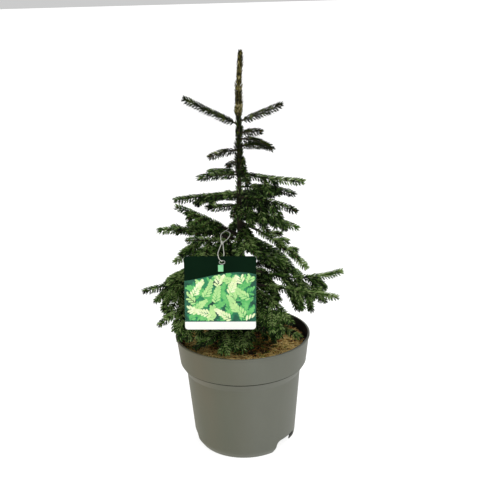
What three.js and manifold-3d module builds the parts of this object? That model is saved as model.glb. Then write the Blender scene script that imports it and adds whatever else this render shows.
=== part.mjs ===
// A young oriental spruce in its nursery pot, with the label that hangs from one bough.
// Millimetres, +Z up. The origin is the centre of the pot's flat underside, and -Y faces the viewer.
// Azimuths are in degrees from +X towards +Y, and rises are in degrees above the horizon.
import * as THREE from 'three';
import { mergeVertices } from 'three/addons/utils/BufferGeometryUtils.js';
import Module from 'manifold-3d';

const wasm = await Module();
wasm.setup();

// Driving dimensions of the pot
const POT_HEIGHT = 163;
const RIM_RADIUS = 95;
const FOOT_RADIUS = 65.5;
const POT_WALL = 1.6;
const POT_FLOOR = 2.5;
const POT_SIDES = 38;
const CHAMFER = { radius: 72.2, height: 9.5 };
const SHOULDER = { radius: 81, height: 110 };
const COLLAR = { radius: 89.5, height: 124 };
const LIP = { depth: 2.4, reach: 1.2 };
const CHANNEL = { inner: 44, height: 20 };
const NOTCH = { azimuths: [-35, 75, 184], width: 45, height: 19.5, corner: 9 };
const NOTCH_BLOCK = { inner: 54, depth: 30, below: 5 };
const DRAIN = { radius: 3, length: 8, sides: 10 };

// Driving dimensions of the soil and of the seats between touching pieces
const SOIL_TOP = 150;
const SOIL_RELIEF = 3;
const SOIL_SIDES = 20;
const SOIL_CENTRE = 22;
const SOIL_WAVES = [{ share: 0.6, turns: 3, shift: 0.7 }, { share: 0.4, turns: 5, shift: 0 }];
const SEAT_GAP = 0.3;

// The trunk's line as [height, sideways lean], and its radius from root flare to tip
const TRUNK_LINE = [[150, 0], [270, -1], [345, 0], [400, 1.4], [463, 2.1], [508, 3.5], [549, 6.6]];
const TRUNK_RADII = [[150, 8], [156, 6], [168, 4.9], [260, 4], [400, 2.8], [500, 2], [549, 1.2]];
const TRUNK_SIDES = 8;
const LEADER = { foot: 471, tip: 553, rings: 11, cover: 1.7, tooth: 4.8 };

// Needled shoots: the core, the teeth that stand for sprays of needles, and their spacing
const STEM_RADIUS = 1.6;
const CORE_RADIUS = 2.5;
const TOOTH_RADIUS = 4.4;
const TOOTH_SPACING = 12;
const TOOTH_LEAN = 0.92;
const LAST_TOOTH = { lean: 0.6, size: 0.8 };
const CORE_TAPER = 0.35;
const BARE_FOOT = 13;
const SIDE_FOOT = 4;
const ROOT_RADIUS = 0.6;
const LIMB_RADII = [2.5, 1.7];
const LIMB_SIDES = 6;
const LIMB_RINGS = 4;
const LINE_STEP = 6;
const CLEARANCE = 0.6;

// The label and the string that holds it
const LABEL = { left: -73, right: 20, bottom: 199, top: 300, front: -75.4, thick: 0.8, corner: 4 };
const LABEL_ROLL = 1.5;
const LABEL_HOLE = { x: -24, z: 292, width: 7, height: 5 };
const STRING_RADIUS = 0.5;
const STRING_SIDES = 5;
const STRING_BOUGH = 'fifth_left';
const STRING_REACH = 20;
const KNOT = { x: -23.5, y: -45, z: 309, radius: 2 };

// Every bough: name, height on the trunk, azimuth, length, rise at the trunk, rise at the tip, length of
// bare limb, pairs of side shoots, their length, how far they hang, and the seed of their small differences
const BOUGHS = [
  ['top_left', 457, 176, 81, 24, 29, 0, 0, 0, 0, 3],
  ['top_right', 461, -3, 62, 17, 25, 0, 0, 0, 0, 4],
  ['second_right', 445, -22, 34, 17, -3, 0, 0, 0, 0, 6],
  ['second_front_right', 438, -31, 54, 8, -32, 0, 0, 0, 0, 7],
  ['second_left', 423, 202, 45, 5, -21, 0, 0, 0, 0, 9],
  ['second_front', 409, -138, 24, -1, -24, 0, 0, 0, 0, 10],
  ['third_left', 390, 208, 62, 8, -2, 0, 0, 0, 0, 13],
  ['third_right', 392, -11, 89, -11, -2, 0, 1, 31, 58, 69],
  ['third_front', 398, -75, 46, -4, -27, 0, 0, 0, 0, 15],
  ['fourth_left', 363, 181, 89, 0, -7, 0, 3, 21, 68, 71],
  ['fourth_right', 373, 16, 83, -1, -24, 0, 2, 39, 19, 8],
  ['fourth_front_right', 359, -22, 84, 2, -22, 0, 3, 42, 71, 52],
  ['fourth_front', 351, -104, 40, 0, -30, 0, 1, 34, 17, 18],
  ['fourth_left_front', 349, 207, 50, -3, 10, 0, 0, 0, 0, 21],
  ['low_front', 212, -40, 88, -12, -7, 0, 4, 56, 57, 55],
  ['low_front_left', 187, -124, 95, -3, -7, 0, 5, 54, 31, 50],
  ['foot_front_right', 195, -40, 104, -3, -14, 0, 3, 30, 75, 89],
  ['foot_front', 217, -52, 84, 14, -73, 0, 4, 46, 11, 3],
  ['fifth_left', 305, 194, 100, 32, 27, 24, 4, 24, 30, 60],
  ['fifth_left_front', 297, 179, 115, 23, -5, 26, 3, 29, 1, 72],
  ['fifth_front_left', 291, -148, 86, 23, 7, 0, 3, 56, 43, 6],
  ['fifth_right', 339, 4, 86, -12, -26, 0, 4, 42, 26, 48],
  ['fifth_front_right', 324, -14, 114, -19, -48, 24, 3, 26, -10, 73],
  ['fifth_front', 316, -72, 63, -3, -33, 0, 2, 42, 40, 85],
  ['fifth_left_low', 287, -179, 96, 11, -33, 0, 4, 38, 41, 38],
  ['low_left_front', 268, -173, 111, 7, -35, 30, 4, 56, 25, 82],
  ['low_left', 234, 182, 138, 10, -14, 34, 4, 56, 55, 71],
  ['low_left_foot', 219, -150, 133, 14, -29, 30, 5, 54, 66, 14],
  ['low_right', 265, 4, 150, -31, 17, 30, 4, 56, 56, 53],
  ['low_right_front', 238, -14, 137, -6, -6, 32, 4, 34, 67, 72],
  ['low_right_foot', 231, -50, 109, 9, -37, 28, 5, 52, 42, 82],
  ['top_back', 464, 88, 38, 30, 45, 0, 0, 0, 0, 5],
  ['second_back_right', 428, 29, 48, 6, -18, 0, 0, 0, 0, 8],
  ['second_back', 438, 86, 38, 18, 16, 0, 0, 0, 0, 11],
  ['third_left_back', 393, 155, 47, 3, -8, 0, 0, 0, 0, 12],
  ['third_back', 407, 84, 48, 9, -37, 0, 1, 27, 68, 14],
  ['fourth_back_left', 357, 134, 79, 7, -30, 0, 2, 47, 13, 71],
  ['fourth_back', 363, 67, 105, -7, -22, 0, 3, 50, 53, 64],
  ['fifth_back_right', 301, 34, 112, -15, -53, 0, 4, 46, 38, 79],
  ['fifth_back', 318, 92, 101, 4, -26, 0, 3, 46, 61, 72],
  ['fifth_back_left', 303, 140, 99, 16, -12, 0, 3, 26, 29, 64],
  ['low_back_right', 258, 44, 137, 2, -40, 30, 3, 34, 27, 75],
  ['low_back', 222, 87, 119, 3, 4, 0, 4, 56, 19, 15],
  ['low_back_left', 246, 138, 134, -1, -22, 0, 4, 56, 10, 15],
].map(([name, height, azimuth, length, riseStart, riseEnd, limb, pairs, sideLength, hang, seed]) => (
  { name, height, azimuth, length, riseStart, riseEnd, limb, pairs, sideLength, hang, seed }));

// How side shoots sit on their stem: the share of the stem that carries them, their angles and lengths,
// and how far chance moves each of these
const SHOOT_ZONE = { reach: 0.66, first: 0.6, chance: 0.15 };
const SIDE_ANGLE = { turn: 50, chance: 8, sweep: 12 };
const SIDE_RISE = { stem: 0.7, hang: 0.7, chance: 0.3, bend: 10 };
const SIDE_LENGTH = { first: 1.1, taper: 0.5, chance: 0.12 };

// Colours, roughness and metalness of the finishes
const finish = (color, roughness) => new THREE.MeshStandardMaterial({
  color, roughness, metalness: 0, flatShading: true });
const potPlastic = () => finish(0x6f7266, 0.55);
const barkSoil = () => finish(0x6b4a2b, 0.95);
const youngBark = () => finish(0x3c2f24, 0.9);
const needleGreen = () => finish(0x2c4a22, 0.7);
const labelCard = () => finish(0x7fae6a, 0.35);
const whiteString = () => finish(0xd9dccf, 0.6);

// Small helpers: interpolation along a table, seeded dice, directions and solids

function along(table, z) {
  const next = Math.max(1, table.findIndex(([height]) => height >= z));
  const last = z > table.at(-1)[0] ? table.length - 1 : next;
  const [z0, v0] = table[last - 1];
  const [z1, v1] = table[last];
  return v0 + (v1 - v0) * Math.min(1, (z - z0) / (z1 - z0));
}

class Dice {
  constructor(seed) {
    this.state = seed * 7919;
  }

  roll() {
    this.state = (this.state * 16807) % 2147483647;
    return this.state / 2147483647;
  }

  spread(reach) {
    return (2 * this.roll() - 1) * reach;
  }
}

function heading(azimuth, rise) {
  const a = THREE.MathUtils.degToRad(azimuth);
  const e = THREE.MathUtils.degToRad(rise);
  return new THREE.Vector3(Math.cos(a) * Math.cos(e), Math.sin(a) * Math.cos(e), Math.sin(e));
}

const trunkPoint = (z) => new THREE.Vector3(along(TRUNK_LINE, z), 0, z);

function solidOf(geometry) {
  const bare = geometry.clone();
  bare.deleteAttribute('normal');
  bare.deleteAttribute('uv');
  const closed = mergeVertices(bare, 1e-4);
  return new wasm.Manifold(new wasm.Mesh({
    numProp: 3,
    vertProperties: new Float32Array(closed.attributes.position.array),
    triVerts: new Uint32Array(closed.index.array),
  }));
}

function geometryOf(solid) {
  const mesh = solid.getMesh();
  const geometry = new THREE.BufferGeometry();
  geometry.setAttribute('position', new THREE.BufferAttribute(mesh.vertProperties, mesh.numProp));
  geometry.setIndex(new THREE.BufferAttribute(mesh.triVerts, 1));
  return geometry;
}

// The largest piece of a solid: what a cut leaves loose is dropped
function largest(solid) {
  const pieces = solid.decompose();
  return pieces.reduce((best, piece) => (piece.volume() > best.volume() ? piece : best));
}

// A closed skin over rings with as many points each, counter-clockwise about the way the skin runs
function skin(rings, apex) {
  const sides = rings[0].length;
  const points = rings.flat();
  const faces = [];
  for (let k = 1; k < sides - 1; k += 1) {
    faces.push(0, k + 1, k);
  }
  for (let ring = 0; ring < rings.length - 1; ring += 1) {
    for (let k = 0; k < sides; k += 1) {
      const a = ring * sides + k;
      const b = ring * sides + ((k + 1) % sides);
      faces.push(a, b, a + sides, b, b + sides, a + sides);
    }
  }
  const end = (rings.length - 1) * sides;
  if (apex) {
    points.push(apex);
    for (let k = 0; k < sides; k += 1) {
      faces.push(end + k, end + ((k + 1) % sides), points.length - 1);
    }
  } else {
    for (let k = 1; k < sides - 1; k += 1) {
      faces.push(end, end + k, end + k + 1);
    }
  }
  const geometry = new THREE.BufferGeometry().setFromPoints(points);
  geometry.setIndex(faces);
  return geometry;
}

// One ring of points round a centre, square to the way ahead; radii may differ from corner to corner
function ringRound(centre, ahead, across, radii, turn = 0) {
  const first = across.clone().addScaledVector(ahead, -across.dot(ahead)).normalize();
  const second = new THREE.Vector3().crossVectors(ahead, first);
  return radii.map((radius, k) => {
    const angle = turn + (2 * Math.PI * k) / radii.length;
    return centre.clone()
      .addScaledVector(first, radius * Math.cos(angle))
      .addScaledVector(second, radius * Math.sin(angle));
  });
}

const evenRadii = (sides, radius) => Array(sides).fill(radius);

// The pot: a turned shell with a collar, an undercut lip, and a channel under it that drains through
// three arched notches in its skirt

function turned(profile) {
  return solidOf(new THREE.LatheGeometry(profile.map(([r, z]) => new THREE.Vector2(r, z)), POT_SIDES)
    .rotateX(Math.PI / 2));
}

function potOutside() {
  return turned([
    [0, 0], [FOOT_RADIUS, 0], [CHAMFER.radius, CHAMFER.height], [SHOULDER.radius, SHOULDER.height],
    [COLLAR.radius, COLLAR.height], [RIM_RADIUS - LIP.reach, POT_HEIGHT - LIP.depth],
    [RIM_RADIUS, POT_HEIGHT - LIP.depth], [RIM_RADIUS, POT_HEIGHT], [0, POT_HEIGHT],
  ]);
}

// The wall's outer radius below the shoulder
function wallRadius(z) {
  return along([[0, FOOT_RADIUS], [CHAMFER.height, CHAMFER.radius], [SHOULDER.height, SHOULDER.radius]], z);
}

function potInside() {
  const roof = CHANNEL.height + POT_WALL;
  return turned([
    [0, POT_FLOOR], [CHANNEL.inner - POT_WALL, POT_FLOOR], [CHANNEL.inner - POT_WALL, roof],
    [wallRadius(roof) - POT_WALL, roof], [SHOULDER.radius - POT_WALL, SHOULDER.height],
    [COLLAR.radius - POT_WALL, COLLAR.height], [RIM_RADIUS - LIP.reach - POT_WALL, POT_HEIGHT - LIP.depth],
    [RIM_RADIUS - LIP.reach - POT_WALL, POT_HEIGHT + 1], [0, POT_HEIGHT + 1],
  ]);
}

// The channel between the pot's middle foot and its skirt, open below
function channel() {
  return turned([
    [CHANNEL.inner, -NOTCH_BLOCK.below], [FOOT_RADIUS - POT_WALL, -NOTCH_BLOCK.below],
    [FOOT_RADIUS - POT_WALL, 0],
    [CHAMFER.radius - POT_WALL, CHAMFER.height], [wallRadius(CHANNEL.height) - POT_WALL, CHANNEL.height],
    [CHANNEL.inner, CHANNEL.height], [CHANNEL.inner, -NOTCH_BLOCK.below],
  ]);
}

// One block turned to each notch's place
function everyNotch(block) {
  const copies = NOTCH.azimuths.map((azimuth) => block.rotate([0, 0, azimuth]));
  return copies.reduce((all, copy) => all.add(copy));
}

// Arched blocks that cut the skirt
function notches() {
  const half = NOTCH.width / 2;
  const top = NOTCH.height;
  const spring = top - NOTCH.corner;
  const arch = new THREE.Shape();
  arch.moveTo(-half, -NOTCH_BLOCK.below);
  arch.lineTo(half, -NOTCH_BLOCK.below);
  arch.lineTo(half, spring);
  arch.quadraticCurveTo(half, top, half - NOTCH.corner, top);
  arch.lineTo(NOTCH.corner - half, top);
  arch.quadraticCurveTo(-half, top, -half, spring);
  const sweep = { depth: NOTCH_BLOCK.depth, bevelEnabled: false, curveSegments: 3 };
  const block = new THREE.ExtrudeGeometry(arch, sweep)
    .rotateX(Math.PI / 2)
    .rotateZ(Math.PI / 2)
    .translate(NOTCH_BLOCK.inner, 0, 0);
  return everyNotch(solidOf(block));
}

// Drain holes through the middle foot's wall behind each notch
function drains() {
  const hole = new THREE.CylinderGeometry(DRAIN.radius, DRAIN.radius, DRAIN.length, DRAIN.sides)
    .rotateZ(Math.PI / 2)
    .translate(CHANNEL.inner, 0, POT_FLOOR + DRAIN.radius);
  return everyNotch(solidOf(hole));
}

function pot() {
  return potOutside().subtract(potInside()).subtract(channel()).subtract(notches()).subtract(drains());
}

// The soil: fills the pot above its channel, flat under the trunk and uneven towards the wall
function soil() {
  const inset = POT_WALL + SEAT_GAP;
  const foot = CHANNEL.inner - inset;
  const shelf = CHANNEL.height + inset;
  const slope = (RIM_RADIUS - LIP.reach - COLLAR.radius) / (POT_HEIGHT - LIP.depth - COLLAR.height);
  const edge = SOIL_TOP - SOIL_RELIEF;
  const outline = [
    [0, POT_FLOOR + SEAT_GAP], [foot, POT_FLOOR + SEAT_GAP], [foot, shelf],
    [wallRadius(shelf) - inset, shelf], [SHOULDER.radius - inset, SHOULDER.height],
    [COLLAR.radius - inset, COLLAR.height],
    [COLLAR.radius + slope * (edge - SOIL_RELIEF - COLLAR.height) - inset, edge],
    [(SOIL_CENTRE + RIM_RADIUS) / 2, edge], [SOIL_CENTRE, SOIL_TOP - SEAT_GAP], [0, SOIL_TOP - SEAT_GAP],
  ];
  const geometry = new THREE.LatheGeometry(outline.map(([r, z]) => new THREE.Vector2(r, z)), SOIL_SIDES)
    .rotateX(Math.PI / 2);
  const place = geometry.attributes.position;
  for (let i = 0; i < place.count; i += 1) {
    const azimuth = Math.atan2(place.getY(i), place.getX(i));
    const heave = SOIL_WAVES.reduce((sum, { share, turns, shift }) => (
      sum + share * Math.sin(turns * azimuth + shift)), 0);
    if (Math.abs(place.getZ(i) - edge) < SEAT_GAP) {
      place.setZ(i, edge + SOIL_RELIEF * heave);
    }
  }
  return solidOf(geometry);
}

const UP = new THREE.Vector3(0, 0, 1);
const SIDEWAYS = new THREE.Vector3(1, 0, 0);

// The trunk: one tapering stem from its flat cut on the soil to its tip, larger by a margin for clearances
function trunk(margin = 0) {
  const heights = [...new Set([...TRUNK_LINE, ...TRUNK_RADII].map(([z]) => z))].sort((a, b) => a - b);
  const rings = heights.map((z) => {
    const ends = (z === heights.at(-1) ? margin : 0) - (z === heights[0] ? margin : 0);
    const radii = evenRadii(TRUNK_SIDES, along(TRUNK_RADII, z) + margin);
    return ringRound(trunkPoint(z).setZ(z + ends), UP, SIDEWAYS, radii);
  });
  return solidOf(skin(rings));
}

// Growth: the line of a stem or shoot, traced in short steps while its azimuth and rise change evenly
function trace(start, azimuth, riseStart, riseEnd, length, sweep = 0) {
  const steps = Math.max(2, Math.ceil(length / LINE_STEP));
  const step = length / steps;
  const points = [start.clone()];
  const headings = [];
  for (let i = 0; i < steps; i += 1) {
    const share = (i + 0.5) / steps;
    const here = { azimuth: azimuth + sweep * share, rise: riseStart + (riseEnd - riseStart) * share };
    headings.push(here);
    points.push(points.at(-1).clone().addScaledVector(heading(here.azimuth, here.rise), step));
  }
  return { points, headings, step, length, across: heading(azimuth + 90, 0) };
}

// Where a line is at a distance from its start, and the way it runs there
function spot(line, distance) {
  const i = Math.min(line.headings.length - 1, Math.max(0, Math.floor(distance / line.step)));
  const share = distance / line.step - i;
  return {
    place: line.points[i].clone().lerp(line.points[i + 1], share),
    ahead: line.points[i + 1].clone().sub(line.points[i]).normalize(),
    ...line.headings[i],
  };
}

function segmentGap(p1, q1, p2, q2) {
  const d1 = q1.clone().sub(p1);
  const d2 = q2.clone().sub(p2);
  const r = p1.clone().sub(p2);
  const [a, e, f, c, b] = [d1.dot(d1), d2.dot(d2), d2.dot(r), d1.dot(r), d1.dot(d2)];
  const spread = a * e - b * b;
  const clamp = (value) => THREE.MathUtils.clamp(value, 0, 1);
  let s = spread > 1e-9 ? clamp((b * f - c * e) / spread) : 0;
  let t = (b * s + f) / e;
  if (t < 0) {
    t = 0;
    s = clamp(-c / a);
  } else if (t > 1) {
    t = 1;
    s = clamp((b - c) / a);
  }
  return p1.clone().addScaledVector(d1, s).distanceTo(p2.clone().addScaledVector(d2, t));
}

function near(pointsA, pointsB, reach) {
  for (let i = 0; i < pointsA.length - 1; i += 1) {
    for (let j = 0; j < pointsB.length - 1; j += 1) {
      if (segmentGap(pointsA[i], pointsA[i + 1], pointsB[j], pointsB[j + 1]) < reach) {
        return true;
      }
    }
  }
  return false;
}

// Whether needles on a line would touch the soil, the rim, the label or its string
function touchesFixed(points, stringLine) {
  const reach = TOOTH_RADIUS;
  const between = (value, low, high) => value > low - reach && value < high + reach;
  return near(points, stringLine, reach + 3) || points.some(({ x, y, z }) => {
    const radius = Math.hypot(x, y);
    const inSoil = radius < RIM_RADIUS + reach + 1 && z < SOIL_TOP + reach + 1;
    const inRim = Math.abs(radius - (RIM_RADIUS - 1)) < reach + 2 && z < POT_HEIGHT + reach;
    const inLabel = Math.abs(y - LABEL.front) < reach + 1.9
      && between(x, LABEL.left, LABEL.right) && between(z, LABEL.bottom, LABEL.top);
    return inSoil || inRim || inLabel;
  });
}

// The side shoots of a bough: pairs left and right of its stem, the ones that would touch others left out
function growSides(bough, plant, stringLine) {
  const dice = new Dice(bough.seed);
  for (let pair = 0; pair < bough.pairs; pair += 1) {
    for (const side of [-1, 1]) {
      const step = pair + SHOOT_ZONE.first + dice.spread(SHOOT_ZONE.chance);
      const share = (SHOOT_ZONE.reach * step) / bough.pairs;
      const foot = spot(bough.stem, bough.limb + share * (bough.length - bough.limb));
      const azimuth = foot.azimuth + side * (SIDE_ANGLE.turn + dice.spread(SIDE_ANGLE.chance));
      const droop = bough.hang * (SIDE_RISE.hang + SIDE_RISE.chance * dice.roll());
      const rise = foot.rise * SIDE_RISE.stem - droop;
      const taper = SIDE_LENGTH.first - SIDE_LENGTH.taper * share;
      const length = bough.sideLength * taper * (1 + dice.spread(SIDE_LENGTH.chance));
      const bends = [rise + SIDE_RISE.bend, rise - SIDE_RISE.bend];
      const shoot = trace(foot.place, azimuth, ...bends, length, -side * SIDE_ANGLE.sweep);
      const free = shoot.points.slice(1);
      const others = plant.filter((other) => other !== bough)
        .flatMap((other) => [other.stem, ...other.sides]);
      const blocked = touchesFixed(free, stringLine)
        || others.some((other) => near(free, other.points, 2 * TOOTH_RADIUS + CLEARANCE));
      if (!blocked) {
        bough.sides.push(shoot);
      }
    }
  }
}

function growPlant(stringLine) {
  const plant = BOUGHS.map((bough) => ({
    ...bough,
    stem: trace(trunkPoint(bough.height), bough.azimuth, bough.riseStart, bough.riseEnd, bough.length),
    sides: [],
  }));
  plant.forEach((bough) => growSides(bough, plant, stringLine));
  return plant;
}

// A needled shoot: a three-sided core with rings of forward-leaning teeth, turned from ring to ring
function needledShoot(line, from, needlesFrom, footRadius = STEM_RADIUS) {
  const rings = [];
  const ring = (distance, radius, turn) => {
    const { place, ahead } = spot(line, distance);
    rings.push(ringRound(place, ahead, line.across, evenRadii(3, radius), turn));
  };
  const count = Math.max(2, Math.round((line.length - needlesFrom) / TOOTH_SPACING));
  const spacing = (line.length - needlesFrom) / count;
  const slim = (distance) => CORE_RADIUS * (1 - CORE_TAPER * (distance / line.length));
  ring(from, footRadius, 0);
  if (needlesFrom > from + 1) {
    ring(needlesFrom, slim(needlesFrom), 0);
  }
  for (let k = 0; k < count; k += 1) {
    const turn = k * (Math.PI / 3);
    const foot = needlesFrom + spacing * k;
    if (k < count - 1) {
      ring(foot + spacing * TOOTH_LEAN, TOOTH_RADIUS, turn);
      ring(foot + spacing, slim(foot + spacing), turn + Math.PI / 3);
    } else {
      ring(foot + spacing * LAST_TOOTH.lean, TOOTH_RADIUS * LAST_TOOTH.size, turn);
    }
  }
  return solidOf(skin(rings, line.points.at(-1)));
}

// A mass of foliage: the needled stem with its side shoots fused on, cut clear of the trunk
function foliage(bough, trunkRoom) {
  const from = bough.limb ? bough.limb + SEAT_GAP : 0;
  const stem = needledShoot(bough.stem, from, bough.limb ? from : BARE_FOOT);
  const sides = bough.sides.map((side) => needledShoot(side, 0, SIDE_FOOT, ROOT_RADIUS));
  const mass = sides.reduce((all, side) => all.add(side), stem);
  return largest(mass.subtract(trunkRoom));
}

// The bare limb of a long bough: from the trunk to where the needles begin
function limb(bough, trunkRoom) {
  const rings = [...Array(LIMB_RINGS).keys()].map((k) => {
    const share = k / (LIMB_RINGS - 1);
    const { place, ahead } = spot(bough.stem, share * bough.limb);
    const radius = THREE.MathUtils.lerp(...LIMB_RADII, share);
    return ringRound(place, ahead, bough.stem.across, evenRadii(LIMB_SIDES, radius));
  });
  return largest(solidOf(skin(rings)).subtract(trunkRoom));
}

// The needles of the leader: a toothed sleeve round the top of the trunk, closed over its tip
function leaderNeedles(trunkRoom) {
  const corners = 6;
  const spacing = (LEADER.tip - LEADER.foot) / LEADER.rings;
  const ring = (z, isTooth) => {
    const core = along(TRUNK_RADII, z) + LEADER.cover;
    const radii = evenRadii(corners, core).map((radius, k) => (isTooth(k) ? LEADER.tooth : radius));
    return ringRound(trunkPoint(z), UP, SIDEWAYS, radii);
  };
  const rings = [...Array(LEADER.rings - 1).keys()].flatMap((turn) => {
    const z = LEADER.foot + turn * spacing;
    return [ring(z, () => false), ring(z + spacing * TOOTH_LEAN, (k) => (k + turn) % 2 === 0)];
  });
  return largest(solidOf(skin(rings, trunkPoint(LEADER.tip))).subtract(trunkRoom));
}

// The label: a card with round corners and a hole for its string, hanging a little askew
function label() {
  const { left, right, bottom, top, corner } = LABEL;
  const card = new THREE.Shape();
  card.moveTo(left + corner, bottom);
  card.absarc(right - corner, bottom + corner, corner, -Math.PI / 2, 0);
  card.absarc(right - corner, top - corner, corner, 0, Math.PI / 2);
  card.absarc(left + corner, top - corner, corner, Math.PI / 2, Math.PI);
  card.absarc(left + corner, bottom + corner, corner, Math.PI, 1.5 * Math.PI);
  const hole = new THREE.Path();
  hole.absellipse(LABEL_HOLE.x, LABEL_HOLE.z, LABEL_HOLE.width / 2, LABEL_HOLE.height / 2, 0, 2 * Math.PI);
  card.holes.push(hole);
  const sheet = { depth: LABEL.thick, bevelEnabled: false, curveSegments: 4 };
  return solidOf(new THREE.ExtrudeGeometry(card, sheet)
    .rotateX(Math.PI / 2)
    .translate(-LABEL_HOLE.x, LABEL.front + LABEL.thick, -LABEL_HOLE.z)
    .rotateY(THREE.MathUtils.degToRad(LABEL_ROLL))
    .translate(LABEL_HOLE.x, 0, LABEL_HOLE.z));
}

// Where the string lies on the bough that holds it
function stringAnchor() {
  const { height, azimuth, riseStart, riseEnd, length } = BOUGHS.find(({ name }) => name === STRING_BOUGH);
  return spot(trace(trunkPoint(height), azimuth, riseStart, riseEnd, length), STRING_REACH);
}

function strand(points, steps) {
  const line = new THREE.CatmullRomCurve3(points, false, 'centripetal');
  const corners = [...Array(STRING_SIDES).keys()].map((k) => (2 * Math.PI * k) / STRING_SIDES);
  const section = new THREE.Shape(corners.map((angle) => new THREE.Vector2(
    STRING_RADIUS * Math.cos(angle), STRING_RADIUS * Math.sin(angle))));
  return solidOf(new THREE.ExtrudeGeometry(section, { steps, bevelEnabled: false, extrudePath: line }));
}

// The string: one loop through the label's hole and one round the bough, both tied in a knot
function labelString(anchor) {
  const at = (x, y, z) => new THREE.Vector3(x, y, z);
  const knot = new THREE.IcosahedronGeometry(KNOT.radius, 0).translate(KNOT.x, KNOT.y, KNOT.z);
  const { x, z, height } = LABEL_HOLE;
  const bearing = z + height / 2 - STRING_RADIUS - 2 * SEAT_GAP;
  const middle = LABEL.front + LABEL.thick / 2;
  const lower = strand([
    at(KNOT.x - 0.8, KNOT.y, KNOT.z - 0.5), at(x - 3.5, middle + 16, bearing + 11),
    at(x - 5, middle + 2, bearing + 9.5), at(x - 4.8, middle - 1, bearing + 8),
    at(x - 3.5, middle - 2.2, bearing + 4),
    at(x - 0.5, middle - 1.6, bearing + 0.4), at(x, middle, bearing - 0.3),
    at(x + 0.5, middle + 1.6, bearing + 0.4), at(x + 2.5, middle + 2.6, bearing + 7),
    at(x + 2, middle + 16, bearing + 12),
    at(KNOT.x + 0.8, KNOT.y, KNOT.z - 0.5),
  ], 26);
  const { limb } = BOUGHS.find(({ name }) => name === STRING_BOUGH);
  const limbRadius = THREE.MathUtils.lerp(...LIMB_RADII, STRING_REACH / limb);
  const radii = evenRadii(8, limbRadius + STRING_RADIUS + SEAT_GAP);
  const round = ringRound(anchor.place, anchor.ahead, at(0, -1, 0), radii);
  const halfway = () => anchor.place.clone().lerp(at(KNOT.x, KNOT.y, KNOT.z), 0.4);
  const upper = strand([
    at(KNOT.x - 0.8, KNOT.y, KNOT.z + 0.6), halfway().add(at(-1.5, 0, 3)), ...round.slice(1),
    halfway().add(at(2, 0, -1.5)), at(KNOT.x + 0.8, KNOT.y, KNOT.z + 0.6),
  ], 34);
  return solidOf(knot).add(lower).add(upper);
}

// The whole plant, each sub-part a named mesh
const plantInPot = new THREE.Group();
plantInPot.name = 'potted_oriental_spruce';

function place(name, solid, material) {
  const mesh = new THREE.Mesh(geometryOf(solid), material);
  mesh.name = name;
  plantInPot.add(mesh);
}

const anchor = stringAnchor();
const knotPoint = new THREE.Vector3(KNOT.x, KNOT.y, KNOT.z);
const holePoint = new THREE.Vector3(LABEL_HOLE.x, LABEL.front, LABEL_HOLE.z);
const trunkRoom = trunk(SEAT_GAP);
const plant = growPlant([anchor.place, knotPoint, holePoint]);

place('pot', pot(), potPlastic());
place('soil', soil(), barkSoil());
place('trunk', trunk(), youngBark());
place('foliage_leader', leaderNeedles(trunkRoom), needleGreen());
for (const bough of plant) {
  if (bough.limb) {
    place(`bough_${bough.name}`, limb(bough, trunkRoom), youngBark());
  }
  place(`foliage_${bough.name}`, foliage(bough, trunkRoom), needleGreen());
}
place('label', label(), labelCard());
place('label_string', labelString(anchor), whiteString());

export default plantInPot;
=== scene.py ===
# %% [markdown]
# # A young oriental spruce in its nursery pot
#
# The shapes and sizes of this plant are already settled in a CAD model: a turned pot, its soil, a trunk,
# bare limbs, and plain toothed solids that stand for the needled shoots. This lesson dresses that model.
# Every piece is made where its solid is, so nothing has to be fitted by hand. We first load the model as a
# fixed frame.

# %% Load the imported model
import math

import bmesh
import bpy
import numpy as np
from mathutils import Euler, Matrix, Vector


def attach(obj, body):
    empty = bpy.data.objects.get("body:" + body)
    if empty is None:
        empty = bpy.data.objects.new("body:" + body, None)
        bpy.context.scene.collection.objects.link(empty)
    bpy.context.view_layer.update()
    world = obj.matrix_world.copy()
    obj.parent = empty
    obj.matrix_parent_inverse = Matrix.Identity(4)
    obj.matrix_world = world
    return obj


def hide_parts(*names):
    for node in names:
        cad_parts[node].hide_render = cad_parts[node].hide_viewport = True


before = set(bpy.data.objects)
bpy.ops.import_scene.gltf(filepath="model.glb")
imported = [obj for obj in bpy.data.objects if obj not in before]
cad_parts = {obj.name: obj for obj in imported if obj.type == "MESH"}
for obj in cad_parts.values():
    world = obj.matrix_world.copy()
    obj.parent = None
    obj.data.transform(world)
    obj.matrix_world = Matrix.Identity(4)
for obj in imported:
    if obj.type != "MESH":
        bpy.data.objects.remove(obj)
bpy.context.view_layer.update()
MM = 0.001

# %% [markdown]
# ## The camera
#
# The plant was photographed from a little above, from about a metre away, with the camera tipped by a
# degree and a half. A long lens keeps the pot's sides almost straight. We give the camera its place, its
# pitch and its roll, and leave depth of field off so that every needle stays crisp.

# %% The camera at the photograph's angle
CAMERA_PLACE = (-0.0002, -1.051, 0.612)
CAMERA_PITCH = -16.6
CAMERA_ROLL = -1.55


def add_object(name, data):
    """Puts a camera, a lamp or a mesh into the scene."""
    thing = bpy.data.objects.new(name, data)
    bpy.context.scene.collection.objects.link(thing)
    return thing


lens = bpy.data.cameras.new("camera")
lens.lens = 60.0
lens.sensor_width = 36.0
camera = add_object("camera", lens)
pitched = Euler((math.radians(90 + CAMERA_PITCH), 0, 0)).to_matrix()
rolled = pitched @ Matrix.Rotation(math.radians(CAMERA_ROLL), 3, "Z")
camera.location = CAMERA_PLACE
camera.rotation_euler = rolled.to_euler()
bpy.context.scene.camera = camera
print("camera at", CAMERA_PLACE, "pitch", CAMERA_PITCH, "roll", CAMERA_ROLL)

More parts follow.
